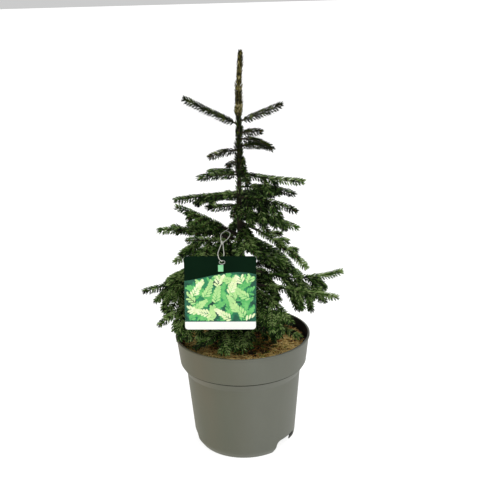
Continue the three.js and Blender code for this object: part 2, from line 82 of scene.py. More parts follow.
# %% [markdown]
# ## Finishes
#
# Nothing natural has one flat colour. Each finish here is a small group of shader nodes: clouds of noise
# pick a colour from a short ramp, and finer noise tips the surface a little, so that light breaks on it as
# it does on bark, soil or moulded plastic. Painting pictures onto the pieces would also work, but noise in
# the object's own space needs no unwrapping and looks right from every side.

# %% Helpers that mix a finish
def tint(code):
    """A colour from its six-figure code, as linear light."""
    parts = [int(code[k:k + 2], 16) / 255 for k in (0, 2, 4)]
    return (*[((v + 0.055) / 1.055) ** 2.4 if v > 0.04045 else v / 12.92 for v in parts], 1.0)


def new_finish(name, roughness, gloss=0.5):
    material = bpy.data.materials.new(name)
    material.use_nodes = True
    shader = material.node_tree.nodes["Principled BSDF"]
    shader.inputs["Roughness"].default_value = roughness
    shader.inputs["Specular IOR Level"].default_value = gloss
    return material


def clouds(material, size, stretch=(1, 1, 1), detail=3.0):
    """A noise whose clouds are about size millimetres across, finer along an axis with more stretch."""
    nodes = material.node_tree.nodes
    links = material.node_tree.links
    place = nodes.new("ShaderNodeTexCoord")
    mapping = nodes.new("ShaderNodeMapping")
    mapping.inputs["Scale"].default_value = stretch
    noise = nodes.new("ShaderNodeTexNoise")
    noise.inputs["Scale"].default_value = 1 / (size * MM)
    noise.inputs["Detail"].default_value = detail
    links.new(place.outputs["Object"], mapping.inputs["Vector"])
    links.new(mapping.outputs["Vector"], noise.inputs["Vector"])
    return noise.outputs["Fac"]


def ramp(material, value, steps):
    """Turns a value into colours: steps are (value, colour code) from low to high."""
    nodes = material.node_tree.nodes
    colours = nodes.new("ShaderNodeValToRGB")
    stops = colours.color_ramp.elements
    while len(stops) < len(steps):
        stops.new(0.5)
    for stop, (position, code) in zip(stops, steps):
        stop.position = position
        stop.color = tint(code)
    material.node_tree.links.new(value, colours.inputs["Fac"])
    return colours.outputs["Color"]


def two_tones(dark, light):
    """The steps of a ramp from one colour to another."""
    return [(0.3, dark), (0.7, light)]


def cloud_colours(material, cloud, steps):
    """Colours in clouds: cloud holds the size, stretch and detail that clouds() takes."""
    return ramp(material, clouds(material, *cloud), steps)


def paint(material, colour):
    shader = material.node_tree.nodes["Principled BSDF"]
    material.node_tree.links.new(colour, shader.inputs["Base Color"])


def grain(material, value, depth, strength=1.0):
    """Tips the surface by a noise, as if it were depth millimetres deep."""
    bump = material.node_tree.nodes.new("ShaderNodeBump")
    bump.inputs["Distance"].default_value = depth * MM
    bump.inputs["Strength"].default_value = strength
    shader = material.node_tree.nodes["Principled BSDF"]
    material.node_tree.links.new(value, bump.inputs["Height"])
    material.node_tree.links.new(bump.outputs["Normal"], shader.inputs["Normal"])


def blend_colours(material, share, first, second, mode="MIX"):
    """Mixes two colours: share is a node's value or a plain number."""
    nodes = material.node_tree.nodes
    links = material.node_tree.links
    mixer = nodes.new("ShaderNodeMix")
    mixer.data_type = "RGBA"
    mixer.blend_type = mode
    if isinstance(share, (int, float)):
        mixer.inputs["Factor"].default_value = share
    else:
        links.new(share, mixer.inputs["Factor"])
    links.new(first, mixer.inputs["A"])
    links.new(second, mixer.inputs["B"])
    return mixer.outputs["Result"]


def cloudy_finish(name, roughness, gloss, cloud, steps, relief=None, depth=0, strength=1):
    """A finish coloured by one noise and, where relief is given, tipped by another."""
    finish = new_finish(name, roughness, gloss)
    paint(finish, cloud_colours(finish, cloud, steps))
    if relief:
        grain(finish, clouds(finish, *relief), depth, strength)
    return finish


EVEN = (1, 1, 1)
print("finish helpers are ready")

# %% [markdown]
# ## Building meshes from arrays
#
# A spruce this size carries tens of thousands of needles. Adding them one object at a time would take
# minutes and could not be exported, so each kind of needle becomes one mesh, written from number arrays.
# The same helper makes every other piece, so all of them end up in metres, shaded, finished and riding on
# the plant's only body.


def make_piece(name, points, face_sets, finish, smooth=True, crease=None):
    """One mesh object. Points are in millimetres; each face set is an array of faces with as many corners."""
    mesh = bpy.data.meshes.new(name)
    face_sets = [np.asarray(faces, dtype=np.int64) for faces in face_sets if len(faces)]
    corners = np.concatenate([faces.ravel() for faces in face_sets])
    sizes = np.concatenate([np.full(len(faces), faces.shape[1]) for faces in face_sets])
    mesh.vertices.add(len(points))
    mesh.vertices.foreach_set("co", (np.asarray(points, dtype=float) * MM).astype(np.float32).ravel())
    mesh.loops.add(len(corners))
    mesh.loops.foreach_set("vertex_index", corners.astype(np.int32))
    mesh.polygons.add(len(sizes))
    starts = np.concatenate([[0], np.cumsum(sizes)[:-1]])
    mesh.polygons.foreach_set("loop_start", starts.astype(np.int32))
    mesh.update(calc_edges=True)
    return show_mesh(name, mesh, finish, smooth, crease)


def show_mesh(name, mesh, finish, smooth=True, crease=None):
    """Puts a mesh into the scene as a piece of the plant."""
    mesh.polygons.foreach_set("use_smooth", [smooth] * len(mesh.polygons))
    if crease is not None:
        mesh.set_sharp_from_angle(angle=math.radians(crease))
    mesh.materials.append(finish)
    piece = add_object(name, mesh)
    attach(piece, "root")
    triangles = sum(len(face.vertices) - 2 for face in mesh.polygons)
    print(f"{name}: {triangles} triangles")
    return piece


# %% Sleeves: rings of points swept along a line
def unit(ways):
    return ways / np.linalg.norm(ways, axis=1)[:, None]


def frames_along(centres, hint):
    """The way ahead and two directions across a line at each of its points."""
    ahead = unit(np.gradient(centres, axis=0))
    first = np.empty_like(centres)
    across = np.asarray(hint, dtype=float)
    for k, way in enumerate(ahead):
        across = across - way * (across @ way)
        across = across / np.linalg.norm(across)
        first[k] = across
    return ahead, first, np.cross(ahead, first)


def grid_quads(rings, sides, closed=False):
    """Quads between rings of points. In a closed body the last ring also joins the first."""
    ring, side = np.meshgrid(np.arange(rings if closed else rings - 1), np.arange(sides), indexing="ij")
    here = (ring * sides + side).ravel()
    beside = (ring * sides + (side + 1) % sides).ravel()
    ahead = (((ring + 1) % rings - ring) * sides).ravel()
    return np.column_stack([here, beside, beside + ahead, here + ahead])


def sleeve(centres, radii, hint):
    """Points and quads of a tube: radii has one row for each centre and one column for each side."""
    centres = np.asarray(centres, dtype=float)
    _, first, second = frames_along(centres, hint)
    rings, sides = radii.shape
    angles = 2 * np.pi * np.arange(sides) / sides
    spokes = (first[:, None, :] * np.cos(angles)[None, :, None]
              + second[:, None, :] * np.sin(angles)[None, :, None])
    points = (centres[:, None, :] + spokes * radii[:, :, None]).reshape(-1, 3)
    return points, grid_quads(rings, sides)


def join_parts(parts):
    """Joins (points, faces) parts into one pair of arrays."""
    points = []
    faces = []
    count = 0
    for part_points, part_faces in parts:
        points.append(part_points)
        faces.append(np.asarray(part_faces) + count)
        count += len(part_points)
    return np.concatenate(points), np.concatenate(faces)


def make_joined(name, parts, finish, crease=None):
    """One piece from several (points, quads) parts."""
    points, quads = join_parts(parts)
    return make_piece(name, points, [quads], finish, crease=crease)


print("mesh helpers are ready")

# %% [markdown]
# ## The studio
#
# Such plants are photographed on a white sweep under large soft lamps, which leave hardly a shadow. A lit
# floor alone would show one, so this very wide floor glows nearly white by itself. A bright sky and three
# large area lamps light the plant. The floor belongs to the stage and not to the plant. Blender's usual view
# bends bright tones down to grey; the standard view keeps a white label and a white floor white.

# %% Floor, sky and lamps
FLOOR_RADIUS = 400.0
FLOOR_SIDES = 96
FLOOR_GLOW = 0.85
SKY_LIGHT = 0.6

floor_finish = cloudy_finish("studio_floor", 0.9, 0.1, (400,), two_tones("9c9c9a", "a2a2a0"))
floor_shader = floor_finish.node_tree.nodes["Principled BSDF"]
floor_shader.inputs["Emission Color"].default_value = tint("ffffff")
floor_shader.inputs["Emission Strength"].default_value = FLOOR_GLOW
floor_mesh = bpy.data.meshes.new("studio_floor")
floor_rim = [2 * math.pi * k / FLOOR_SIDES for k in range(FLOOR_SIDES)]
floor_points = [(FLOOR_RADIUS * math.cos(a), FLOOR_RADIUS * math.sin(a), 0) for a in floor_rim]
floor_mesh.from_pydata(floor_points, [], [range(FLOOR_SIDES)])
floor_mesh.materials.append(floor_finish)
floor = add_object("studio_floor", floor_mesh)

sky = bpy.data.worlds.new("studio_sky")
sky.use_nodes = True
sky_light = sky.node_tree.nodes["Background"]
sky_light.inputs["Color"].default_value = tint("ffffff")
sky_light.inputs["Strength"].default_value = SKY_LIGHT
bpy.context.scene.world = sky
bpy.context.scene.view_settings.view_transform = "Standard"

# Each lamp: place, the point it faces, width and power in watts
LAMPS = {
    "key_lamp": ((0.7, -1.2, 1.7), (0, 0, 0.25), 0.8, 14),
    "fill_lamp": ((-1.3, -1.1, 0.9), (0, 0, 0.2), 0.9, 4.5),
    "back_lamp": ((0.3, 1.2, 1.7), (0, 0, 0.3), 0.9, 8),
}
for name, (place, target, width, power) in LAMPS.items():
    light = bpy.data.lights.new(name, "AREA")
    light.size = width
    light.energy = power
    lamp = add_object(name, light)
    lamp.location = place
    way = Vector(target) - lamp.location
    lamp.rotation_euler = way.to_track_quat("-Z", "Y").to_euler()
print("lamps:", ", ".join(LAMPS))

# %% [markdown]
# ## The pot
#
# The pot is a thin moulded shell: a straight collar with a small lip, a cone under it and a body that
# narrows to the foot. Water runs out through a channel under it and three arched notches in its skirt. On
# a lathe it would be one turned profile, and that is how we make it: the outline is turned round the axis
# with every edge rounded, and Boolean modifiers then cut the channel and the notches. The CAD pot has
# flat sides, so this finer one replaces it.

# %% The pot's outline, with rounded corners
POT_HEIGHT = 163
RIM_RADIUS = 95
FOOT_RADIUS = 65.5
POT_WALL = 1.6
POT_FLOOR = 2.5
CHAMFER = (72.2, 9.5)
SHOULDER = (81, 110)
COLLAR = (89.5, 124)
GROOVE = {"height": 1.8, "depth": 1.2, "below": 0.7}
CHANNEL = {"inner": 44, "height": 20}
LIP_DEPTH = 2.4
LIP_REACH = 1.2
POT_SIDES = 120
BELOW = -5
GROOVE_FOOT = COLLAR[1] - GROOVE["below"] - GROOVE["height"]
ROOF = CHANNEL["height"] + POT_WALL


def rounded_outline(corners, steps=4):
    """Rounds the corners of an outline of (radius, height, rounding)."""
    outline = []
    for k, (radius, height, rounding) in enumerate(corners):
        here = np.array([radius, height], dtype=float)
        if rounding == 0 or k in (0, len(corners) - 1):
            outline.append(here)
            continue
        back = np.array(corners[k - 1][:2], dtype=float) - here
        on = np.array(corners[k + 1][:2], dtype=float) - here
        start = here + back * min(0.45, rounding / np.linalg.norm(back))
        end = here + on * min(0.45, rounding / np.linalg.norm(on))
        for share in np.linspace(0, 1, steps + 1):
            outline.append((1 - share) ** 2 * start + 2 * share * (1 - share) * here + share ** 2 * end)
    return np.array(outline)


def wall_radius(z):
    """The wall's outer radius below the shoulder."""
    return float(np.interp(z, (0, CHAMFER[1], SHOULDER[1]), (FOOT_RADIUS, CHAMFER[0], SHOULDER[0])))


def turned_solid(name, outline):
    """A closed body turned from an outline that starts and ends on the axis."""
    turns = 2 * np.pi * np.arange(POT_SIDES) / POT_SIDES
    inner = outline[1:-1]
    rings = [np.column_stack([r * np.cos(turns), r * np.sin(turns), np.full(POT_SIDES, z)]) for r, z in inner]
    low = len(inner) * POT_SIDES
    points = np.concatenate([*rings, [[0, 0, outline[0][1]]], [[0, 0, outline[-1][1]]]]) * MM
    faces = []
    for side in range(POT_SIDES):
        after = (side + 1) % POT_SIDES
        faces.append((low, after, side))
        for ring in range(len(inner) - 1):
            a = ring * POT_SIDES
            faces.append((a + side, a + after, a + POT_SIDES + after, a + POT_SIDES + side))
        last = (len(inner) - 1) * POT_SIDES
        faces.append((low + 1, last + side, last + after))
    mesh = bpy.data.meshes.new(name)
    mesh.from_pydata([tuple(p) for p in points], [], faces)
    return add_object(name, mesh)


outside = turned_solid("pot_outside", rounded_outline([
    (0, 0, 0), (FOOT_RADIUS, 0, 0.7), (*CHAMFER, 4), (*SHOULDER, 1.6),
    (COLLAR[0] - 1.6, GROOVE_FOOT, 0.3),
    (COLLAR[0] - 1 - GROOVE["depth"], GROOVE_FOOT + GROOVE["height"] / 2, 0),
    (COLLAR[0] - 0.4, GROOVE_FOOT + GROOVE["height"], 0.3), (*COLLAR, 0.5),
    (RIM_RADIUS - LIP_REACH, POT_HEIGHT - LIP_DEPTH, 0.5), (RIM_RADIUS, POT_HEIGHT - LIP_DEPTH, 0.5),
    (RIM_RADIUS, POT_HEIGHT, 0.9), (RIM_RADIUS - LIP_REACH - POT_WALL, POT_HEIGHT, 0.6),
    (0, POT_HEIGHT, 0)]))
cavity = turned_solid("pot_cavity", rounded_outline([
    (0, POT_FLOOR, 0), (CHANNEL["inner"] - POT_WALL, POT_FLOOR, 1), (CHANNEL["inner"] - POT_WALL, ROOF, 1),
    (wall_radius(ROOF) - POT_WALL, ROOF, 1), (SHOULDER[0] - POT_WALL, SHOULDER[1], 1.5),
    (COLLAR[0] - POT_WALL, COLLAR[1], 2),
    (RIM_RADIUS - LIP_REACH - POT_WALL, POT_HEIGHT - LIP_DEPTH, 0),
    (RIM_RADIUS - LIP_REACH - POT_WALL, POT_HEIGHT + 4, 0), (0, POT_HEIGHT + 4, 0)]))
channel = turned_solid("channel", rounded_outline([
    (0, BELOW, 0), (FOOT_RADIUS - POT_WALL, BELOW, 0), (FOOT_RADIUS - POT_WALL, 0, 0),
    (CHAMFER[0] - POT_WALL, CHAMFER[1], 3), (wall_radius(CHANNEL["height"]) - POT_WALL, CHANNEL["height"], 1),
    (0, CHANNEL["height"], 0)]))
middle_foot = turned_solid("middle_foot", rounded_outline([
    (0, 2 * BELOW, 0), (CHANNEL["inner"], 2 * BELOW, 0), (CHANNEL["inner"], 2 * CHANNEL["height"], 0),
    (0, 2 * CHANNEL["height"], 0)]))
print("turned bodies:", len(outside.data.polygons), "and", len(cavity.data.polygons), "faces")

# %% Cut the cavity, the channel, the notches and the drain holes
NOTCH_AZIMUTHS = (-35, 75, 184)
NOTCH_WIDTH = 45
NOTCH_HEIGHT = 19.5
NOTCH_CORNER = 9
NOTCH_INNER = 54
NOTCH_DEPTH = 30
DRAIN = {"radius": 3, "length": 8, "sides": 24}


def notch_blocks(name):
    """Arched blocks that cut the skirt."""
    half = NOTCH_WIDTH / 2
    section = rounded_outline([
        (half, BELOW, 0), (half, NOTCH_HEIGHT, NOTCH_CORNER), (-half, NOTCH_HEIGHT, NOTCH_CORNER),
        (-half, BELOW, 0)], 12)
    mesh = bmesh.new()
    for azimuth in NOTCH_AZIMUTHS:
        turn = Matrix.Rotation(math.radians(azimuth), 4, "Z")
        rings = [[mesh.verts.new(turn @ Vector((x * MM, y * MM, z * MM))) for y, z in section]
                 for x in (NOTCH_INNER, NOTCH_INNER + NOTCH_DEPTH)]
        mesh.faces.new(rings[0][::-1])
        mesh.faces.new(rings[1])
        for a in range(len(section)):
            b = (a + 1) % len(section)
            mesh.faces.new((rings[0][a], rings[0][b], rings[1][b], rings[1][a]))
    bmesh.ops.recalc_face_normals(mesh, faces=mesh.faces)
    return cutter_from(name, mesh)


def drain_holes(name):
    """Short rods that lie across the channel's inner wall, one behind each notch."""
    mesh = bmesh.new()
    for azimuth in NOTCH_AZIMUTHS:
        turn = Matrix.Rotation(math.radians(azimuth), 4, "Z")
        place = Matrix.Translation((CHANNEL["inner"] * MM, 0, (POT_FLOOR + DRAIN["radius"]) * MM))
        lying = Matrix.Rotation(math.radians(90), 4, "Y")
        bmesh.ops.create_cone(mesh, cap_ends=True, segments=DRAIN["sides"], radius1=DRAIN["radius"] * MM,
                              radius2=DRAIN["radius"] * MM, depth=DRAIN["length"] * MM,
                              matrix=turn @ place @ lying)
    return cutter_from(name, mesh)


def cutter_from(name, mesh):
    data = bpy.data.meshes.new(name)
    mesh.to_mesh(data)
    mesh.free()
    return add_object(name, data)


def cut(body, cutter):
    """Cuts one body from another for good, and removes the cutter."""
    boolean = body.modifiers.new("cut", "BOOLEAN")
    boolean.operation = "DIFFERENCE"
    boolean.object = cutter
    boolean.solver = "EXACT"
    result = bpy.data.meshes.new_from_object(body.evaluated_get(bpy.context.evaluated_depsgraph_get()))
    body.modifiers.clear()
    body.data = result
    bpy.data.objects.remove(cutter)


cut(channel, middle_foot)
cut(outside, cavity)
cut(outside, channel)
cut(outside, notch_blocks("notches"))
cut(outside, drain_holes("drains"))
print("pot shell:", len(outside.data.polygons), "faces")

# %% [markdown]
# The plastic is grey-green, satin and a little scuffed: streaks run down it. Painted shade with a brownish
# painted reflection darkens one side, and painted shade lies in the groove under the collar, strongest at the
# front. An image of scratches would need unwrapping, so stretched noise makes the streaks. Masks that grow
# along an axis place the painted shade.

# %% Grey-green moulded plastic
pot_finish = new_finish("pot_plastic", 0.5, 0.25)
pot_clouds = cloud_colours(pot_finish, (60, (1, 1, 0.5)), two_tones("606258", "66685e"))
pot_marks = cloud_colours(pot_finish, (9, (1, 1, 0.12), 6), [(0.5, "000000"), (0.75, "606060")])
pot_dust = cloud_colours(pot_finish, (30,), [(0.4, "5e6052"), (0.8, "6f6450")])
pot_grey = blend_colours(pot_finish, pot_marks, pot_clouds, pot_dust)
print("pot_plastic has", len(pot_finish.node_tree.nodes), "nodes so far")

# %% Painted shade and reflection towards one side, and painted shade in the groove under the collar
# Painted shade and a brownish painted reflection grow across the wall between these two places along X.
SHADED_SIDE = (15, -90)
# Painted shade in the groove under the collar grows towards the front between these two places along Y; the
# steps below bound its band.
GROOVE_SHADE_FRONT = (-55, -86)
GROOVE_SHADE_STEPS = [(0.2, "000000"), (0.36, "ffffff"), (0.64, "ffffff"), (0.8, "000000")]
PLASTIC_GRAIN = (1.2, EVEN, 2)


def share_along(material, axis, low, high):
    """Grows from 0 to 1 between two places along an axis of the body."""
    nodes = material.node_tree.nodes
    links = material.node_tree.links
    place = nodes.new("ShaderNodeTexCoord")
    axes = nodes.new("ShaderNodeSeparateXYZ")
    share = nodes.new("ShaderNodeMapRange")
    share.inputs["From Min"].default_value = low * MM
    share.inputs["From Max"].default_value = high * MM
    links.new(place.outputs["Object"], axes.inputs["Vector"])
    links.new(axes.outputs[axis], share.inputs["Value"])
    return share.outputs["Result"]


# Painted shade and a brownish painted reflection, towards one side of the wall.
shaded_side_tone = cloud_colours(pot_finish, (40, (1, 1, 0.3)), two_tones("545640", "5f5942"))
shaded_side_share = share_along(pot_finish, "X", *SHADED_SIDE)
pot_wall = blend_colours(pot_finish, shaded_side_share, pot_grey, shaded_side_tone)
# Painted shade in the groove under the collar, strongest at the front.
groove_span = share_along(pot_finish, "Z", GROOVE_FOOT - 1, GROOVE_FOOT + GROOVE["height"] + 1)
groove_share = ramp(pot_finish, groove_span, GROOVE_SHADE_STEPS)
groove_shade = cloud_colours(pot_finish, (12,), two_tones("1b1b16", "3a3a30"))
groove_shade_front = share_along(pot_finish, "Y", *GROOVE_SHADE_FRONT)
groove_tone = blend_colours(pot_finish, groove_shade_front, pot_wall, groove_shade)
paint(pot_finish, blend_colours(pot_finish, groove_share, pot_wall, groove_tone))
grain(pot_finish, clouds(pot_finish, *PLASTIC_GRAIN), 0.05, 0.4)

pot_mesh = outside.data
bpy.data.objects.remove(outside)
pot_shell = show_mesh("pot_shell", pot_mesh, pot_finish, crease=32)
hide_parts("pot")

# %% [markdown]
# Such pots are often moulded in two layers, and here the inner one is black. A second shell could show it,
# but the pot already has inner faces: those whose normals point to the axis take a second finish.

# %% The black inner layer
INWARD = -0.8
inner_finish = cloudy_finish("pot_inner_layer", 0.55, 0.2, (20, EVEN, 4), two_tones("0d0d0c", "191816"),
                             PLASTIC_GRAIN, 0.05, 0.4)
pot_mesh.materials.append(inner_finish)
inward_faces = 0
for face in pot_mesh.polygons:
    out = face.center.copy()
    out.z = 0
    if out.length > FOOT_RADIUS * MM * 0.5 and face.normal.dot(out.normalized()) < INWARD:
        face.material_index = 1
        inward_faces += 1
print(inward_faces, "faces of the pot are its black inside")

# %% [markdown]
# ## The growth rule
#
# A spruce bough is a stem with pairs of side shoots, each pair shorter towards the tip, and each shoot
# bending a little downwards and back along the stem. The solids were grown by this rule, with dice that
# start from a bough's own seed. The same rule runs again here, on the same numbers, so the needles grow
# exactly where the solids are. It then goes one step further and grows finer twigs on the side shoots.

# %% The trunk's line and every bough
TRUNK_LINE = [(150, 0), (270, -1), (345, 0), (400, 1.4), (463, 2.1), (508, 3.5), (549, 6.6)]
TRUNK_RADII = [(150, 8), (156, 6), (168, 4.9), (260, 4), (400, 2.8), (500, 2), (549, 1.2)]

# Name, height on the trunk, azimuth, length, rise at the trunk, rise at the tip, length of bare limb,
# pairs of side shoots, their length, how far they hang, and the seed of their small differences
BOUGHS = [
    ("top_left", 457, 176, 81, 24, 29, 0, 0, 0, 0, 3),
    ("top_right", 461, -3, 62, 17, 25, 0, 0, 0, 0, 4),
    ("second_right", 445, -22, 34, 17, -3, 0, 0, 0, 0, 6),
    ("second_front_right", 438, -31, 54, 8, -32, 0, 0, 0, 0, 7),
    ("second_left", 423, 202, 45, 5, -21, 0, 0, 0, 0, 9),
    ("second_front", 409, -138, 24, -1, -24, 0, 0, 0, 0, 10),
    ("third_left", 390, 208, 62, 8, -2, 0, 0, 0, 0, 13),
    ("third_right", 392, -11, 89, -11, -2, 0, 1, 31, 58, 69),
    ("third_front", 398, -75, 46, -4, -27, 0, 0, 0, 0, 15),
    ("fourth_left", 363, 181, 89, 0, -7, 0, 3, 21, 68, 71),
    ("fourth_right", 373, 16, 83, -1, -24, 0, 2, 39, 19, 8),
    ("fourth_front_right", 359, -22, 84, 2, -22, 0, 3, 42, 71, 52),
    ("fourth_front", 351, -104, 40, 0, -30, 0, 1, 34, 17, 18),
    ("fourth_left_front", 349, 207, 50, -3, 10, 0, 0, 0, 0, 21),
    ("low_front", 212, -40, 88, -12, -7, 0, 4, 56, 57, 55),
    ("low_front_left", 187, -124, 95, -3, -7, 0, 5, 54, 31, 50),
    ("foot_front_right", 195, -40, 104, -3, -14, 0, 3, 30, 75, 89),
    ("foot_front", 217, -52, 84, 14, -73, 0, 4, 46, 11, 3),
    ("fifth_left", 305, 194, 100, 32, 27, 24, 4, 24, 30, 60),
    ("fifth_left_front", 297, 179, 115, 23, -5, 26, 3, 29, 1, 72),
    ("fifth_front_left", 291, -148, 86, 23, 7, 0, 3, 56, 43, 6),
    ("fifth_right", 339, 4, 86, -12, -26, 0, 4, 42, 26, 48),
    ("fifth_front_right", 324, -14, 114, -19, -48, 24, 3, 26, -10, 73),
    ("fifth_front", 316, -72, 63, -3, -33, 0, 2, 42, 40, 85),
    ("fifth_left_low", 287, -179, 96, 11, -33, 0, 4, 38, 41, 38),
    ("low_left_front", 268, -173, 111, 7, -35, 30, 4, 56, 25, 82),
    ("low_left", 234, 182, 138, 10, -14, 34, 4, 56, 55, 71),
    ("low_left_foot", 219, -150, 133, 14, -29, 30, 5, 54, 66, 14),
    ("low_right", 265, 4, 150, -31, 17, 30, 4, 56, 56, 53),
    ("low_right_front", 238, -14, 137, -6, -6, 32, 4, 34, 67, 72),
    ("low_right_foot", 231, -50, 109, 9, -37, 28, 5, 52, 42, 82),
    ("top_back", 464, 88, 38, 30, 45, 0, 0, 0, 0, 5),
    ("second_back_right", 428, 29, 48, 6, -18, 0, 0, 0, 0, 8),
    ("second_back", 438, 86, 38, 18, 16, 0, 0, 0, 0, 11),
    ("third_left_back", 393, 155, 47, 3, -8, 0, 0, 0, 0, 12),
    ("third_back", 407, 84, 48, 9, -37, 0, 1, 27, 68, 14),
    ("fourth_back_left", 357, 134, 79, 7, -30, 0, 2, 47, 13, 71),
    ("fourth_back", 363, 67, 105, -7, -22, 0, 3, 50, 53, 64),
    ("fifth_back_right", 301, 34, 112, -15, -53, 0, 4, 46, 38, 79),
    ("fifth_back", 318, 92, 101, 4, -26, 0, 3, 46, 61, 72),
    ("fifth_back_left", 303, 140, 99, 16, -12, 0, 3, 26, 29, 64),
    ("low_back_right", 258, 44, 137, 2, -40, 30, 3, 34, 27, 75),
    ("low_back", 222, 87, 119, 3, 4, 0, 4, 56, 19, 15),
    ("low_back_left", 246, 138, 134, -1, -22, 0, 4, 56, 10, 15),
]
print(len(BOUGHS), "boughs")

# %% Dice, directions and lines
LINE_STEP = 6


class Dice:
    """Chance that comes out the same every time, from a seed."""

    def __init__(self, seed):
        self.state = seed * 7919

    def roll(self):
        self.state = (self.state * 16807) % 2147483647
        return self.state / 2147483647

    def spread(self, reach):
        return (2 * self.roll() - 1) * reach


def heading(azimuth, rise):
    a = math.radians(azimuth)
    e = math.radians(rise)
    return np.array([math.cos(a) * math.cos(e), math.sin(a) * math.cos(e), math.sin(e)])


def trunk_at(heights):
    """Places on the trunk's middle line at one height or many."""
    heights = np.asarray(heights, dtype=float)
    return np.stack([np.interp(heights, *zip(*TRUNK_LINE)), np.zeros_like(heights), heights], axis=-1)


class Line:
    """A stem or shoot, traced in short steps while its azimuth and rise change evenly."""

    def __init__(self, start, azimuth, rise_start, rise_end, length, sweep=0):
        steps = max(2, math.ceil(length / LINE_STEP))
        self.step = length / steps
        self.length = length
        self.across = heading(azimuth + 90, 0)
        self.headings = []
        points = [np.asarray(start, dtype=float)]
        for k in range(steps):
            share = (k + 0.5) / steps
            here = (azimuth + sweep * share, rise_start + (rise_end - rise_start) * share)
            self.headings.append(here)
            points.append(points[-1] + heading(*here) * self.step)
        self.points = np.array(points)

    def spot(self, distance):
        """The place at a distance from the start, with the azimuth and rise there."""
        k = min(len(self.headings) - 1, max(0, math.floor(distance / self.step)))
        share = distance / self.step - k
        place = self.points[k] + (self.points[k + 1] - self.points[k]) * share
        return place, *self.headings[k]

    def places(self, distances):
        """The places at many distances, as one array."""
        marks = np.arange(len(self.points)) * self.step
        return np.column_stack([np.interp(distances, marks, self.points[:, k]) for k in range(3)])


print("a test line ends at", Line((0, 0, 0), 0, 10, -10, 50).points[-1].round(2))

# %% [markdown]
# Two shoots of different boughs must not grow through each other, nor into the label, its string, the
# rim or the soil. The test is the gap between two short straight segments, worked out for all pairs of
# segments at once.

# %% What is in the way of a shoot
SOIL_TOP = 150
LABEL = {"left": -73, "right": 20, "bottom": 199, "top": 300, "front": -75.4, "thick": 0.8, "corner": 4}
LABEL_HOLE = {"x": -24, "z": 292, "width": 7, "height": 5}
KNOT = np.array([-23.5, -45, 309.0])
STRING_BOUGH = "fifth_left"
STRING_REACH = 20
TOOTH_RADIUS = 4.4
CLEARANCE = 0.6
ROOM = {"string": 3, "soil": 1, "rim": 2, "label": 1.9}
TINY = 1e-9


def gap_between(line, others):
    """The smallest gap between a line's segments and many other segments."""
    p1, q1 = line[:-1, None], line[1:, None]
    p2, q2 = others[0][None], others[1][None]
    d1, d2, r = q1 - p1, q2 - p2, p1 - p2
    a, e, f = (d1 * d1).sum(-1), (d2 * d2).sum(-1), (d2 * r).sum(-1)
    c, b = (d1 * r).sum(-1), (d1 * d2).sum(-1)
    spread = a * e - b * b
    s = np.where(spread > TINY, np.clip((b * f - c * e) / np.maximum(spread, TINY), 0, 1), 0)
    t = (b * s + f) / e
    s = np.where(t < 0, np.clip(-c / a, 0, 1), np.where(t > 1, np.clip((b - c) / a, 0, 1), s))
    t = np.clip(t, 0, 1)
    return np.linalg.norm(p1 + d1 * s[..., None] - p2 - d2 * t[..., None], axis=-1).min()


def segments_of(lines):
    """All segments of some lines of points, as their starts and their ends."""
    return np.concatenate([line[:-1] for line in lines]), np.concatenate([line[1:] for line in lines])


def touches_fixed(points, string_line):
    """Whether needles on a line would touch the soil, the rim, the label or its string."""
    reach = TOOTH_RADIUS
    if gap_between(points, segments_of([string_line])) < reach + ROOM["string"]:
        return True
    x, y, z = points.T
    radius = np.hypot(x, y)
    in_soil = (radius < RIM_RADIUS + reach + ROOM["soil"]) & (z < SOIL_TOP + reach + ROOM["soil"])
    in_rim = (abs(radius - (RIM_RADIUS - 1)) < reach + ROOM["rim"]) & (z < POT_HEIGHT + reach)
    in_label = (abs(y - LABEL["front"]) < reach + ROOM["label"]) & (x > LABEL["left"] - reach)
    in_label &= (x < LABEL["right"] + reach) & (z > LABEL["bottom"] - reach) & (z < LABEL["top"] + reach)
    return bool((in_soil | in_rim | in_label).any())


test_gap = gap_between(np.eye(3)[:2], segments_of([np.array([(0, 0, 2.0), (2, 2, 2)])]))
print("two test segments are", round(float(test_gap), 3), "apart")

# %% Grow the side shoots as the solids did
SHOOT_ZONE = {"reach": 0.66, "first": 0.6, "chance": 0.15}
SIDE_ANGLE = {"turn": 50, "chance": 8, "sweep": 12}
SIDE_RISE = {"stem": 0.7, "hang": 0.7, "chance": 0.3, "bend": 10}
SIDE_LENGTH = {"first": 1.1, "taper": 0.5, "chance": 0.12}


def shoot_on(stem, from_foot, pair, pairs, side, full_length, hang, dice, turn=SIDE_ANGLE["turn"]):
    """One side shoot on a stem, by the rule."""
    step = pair + SHOOT_ZONE["first"] + dice.spread(SHOOT_ZONE["chance"])
    share = SHOOT_ZONE["reach"] * step / pairs
    foot, foot_azimuth, foot_rise = stem.spot(from_foot + share * (stem.length - from_foot))
    azimuth = foot_azimuth + side * (turn + dice.spread(SIDE_ANGLE["chance"]))
    droop = hang * (SIDE_RISE["hang"] + SIDE_RISE["chance"] * dice.roll())
    rise = foot_rise * SIDE_RISE["stem"] - droop
    taper = SIDE_LENGTH["first"] - SIDE_LENGTH["taper"] * share
    length = full_length * taper * (1 + dice.spread(SIDE_LENGTH["chance"]))
    bend = SIDE_RISE["bend"]
    return Line(foot, azimuth, rise + bend, rise - bend, length, -side * SIDE_ANGLE["sweep"])


def string_anchor():
    row = next(row for row in BOUGHS if row[0] == STRING_BOUGH)
    _, height, azimuth, length, rise_start, rise_end = row[:6]
    return Line(trunk_at(height), azimuth, rise_start, rise_end, length).spot(STRING_REACH)


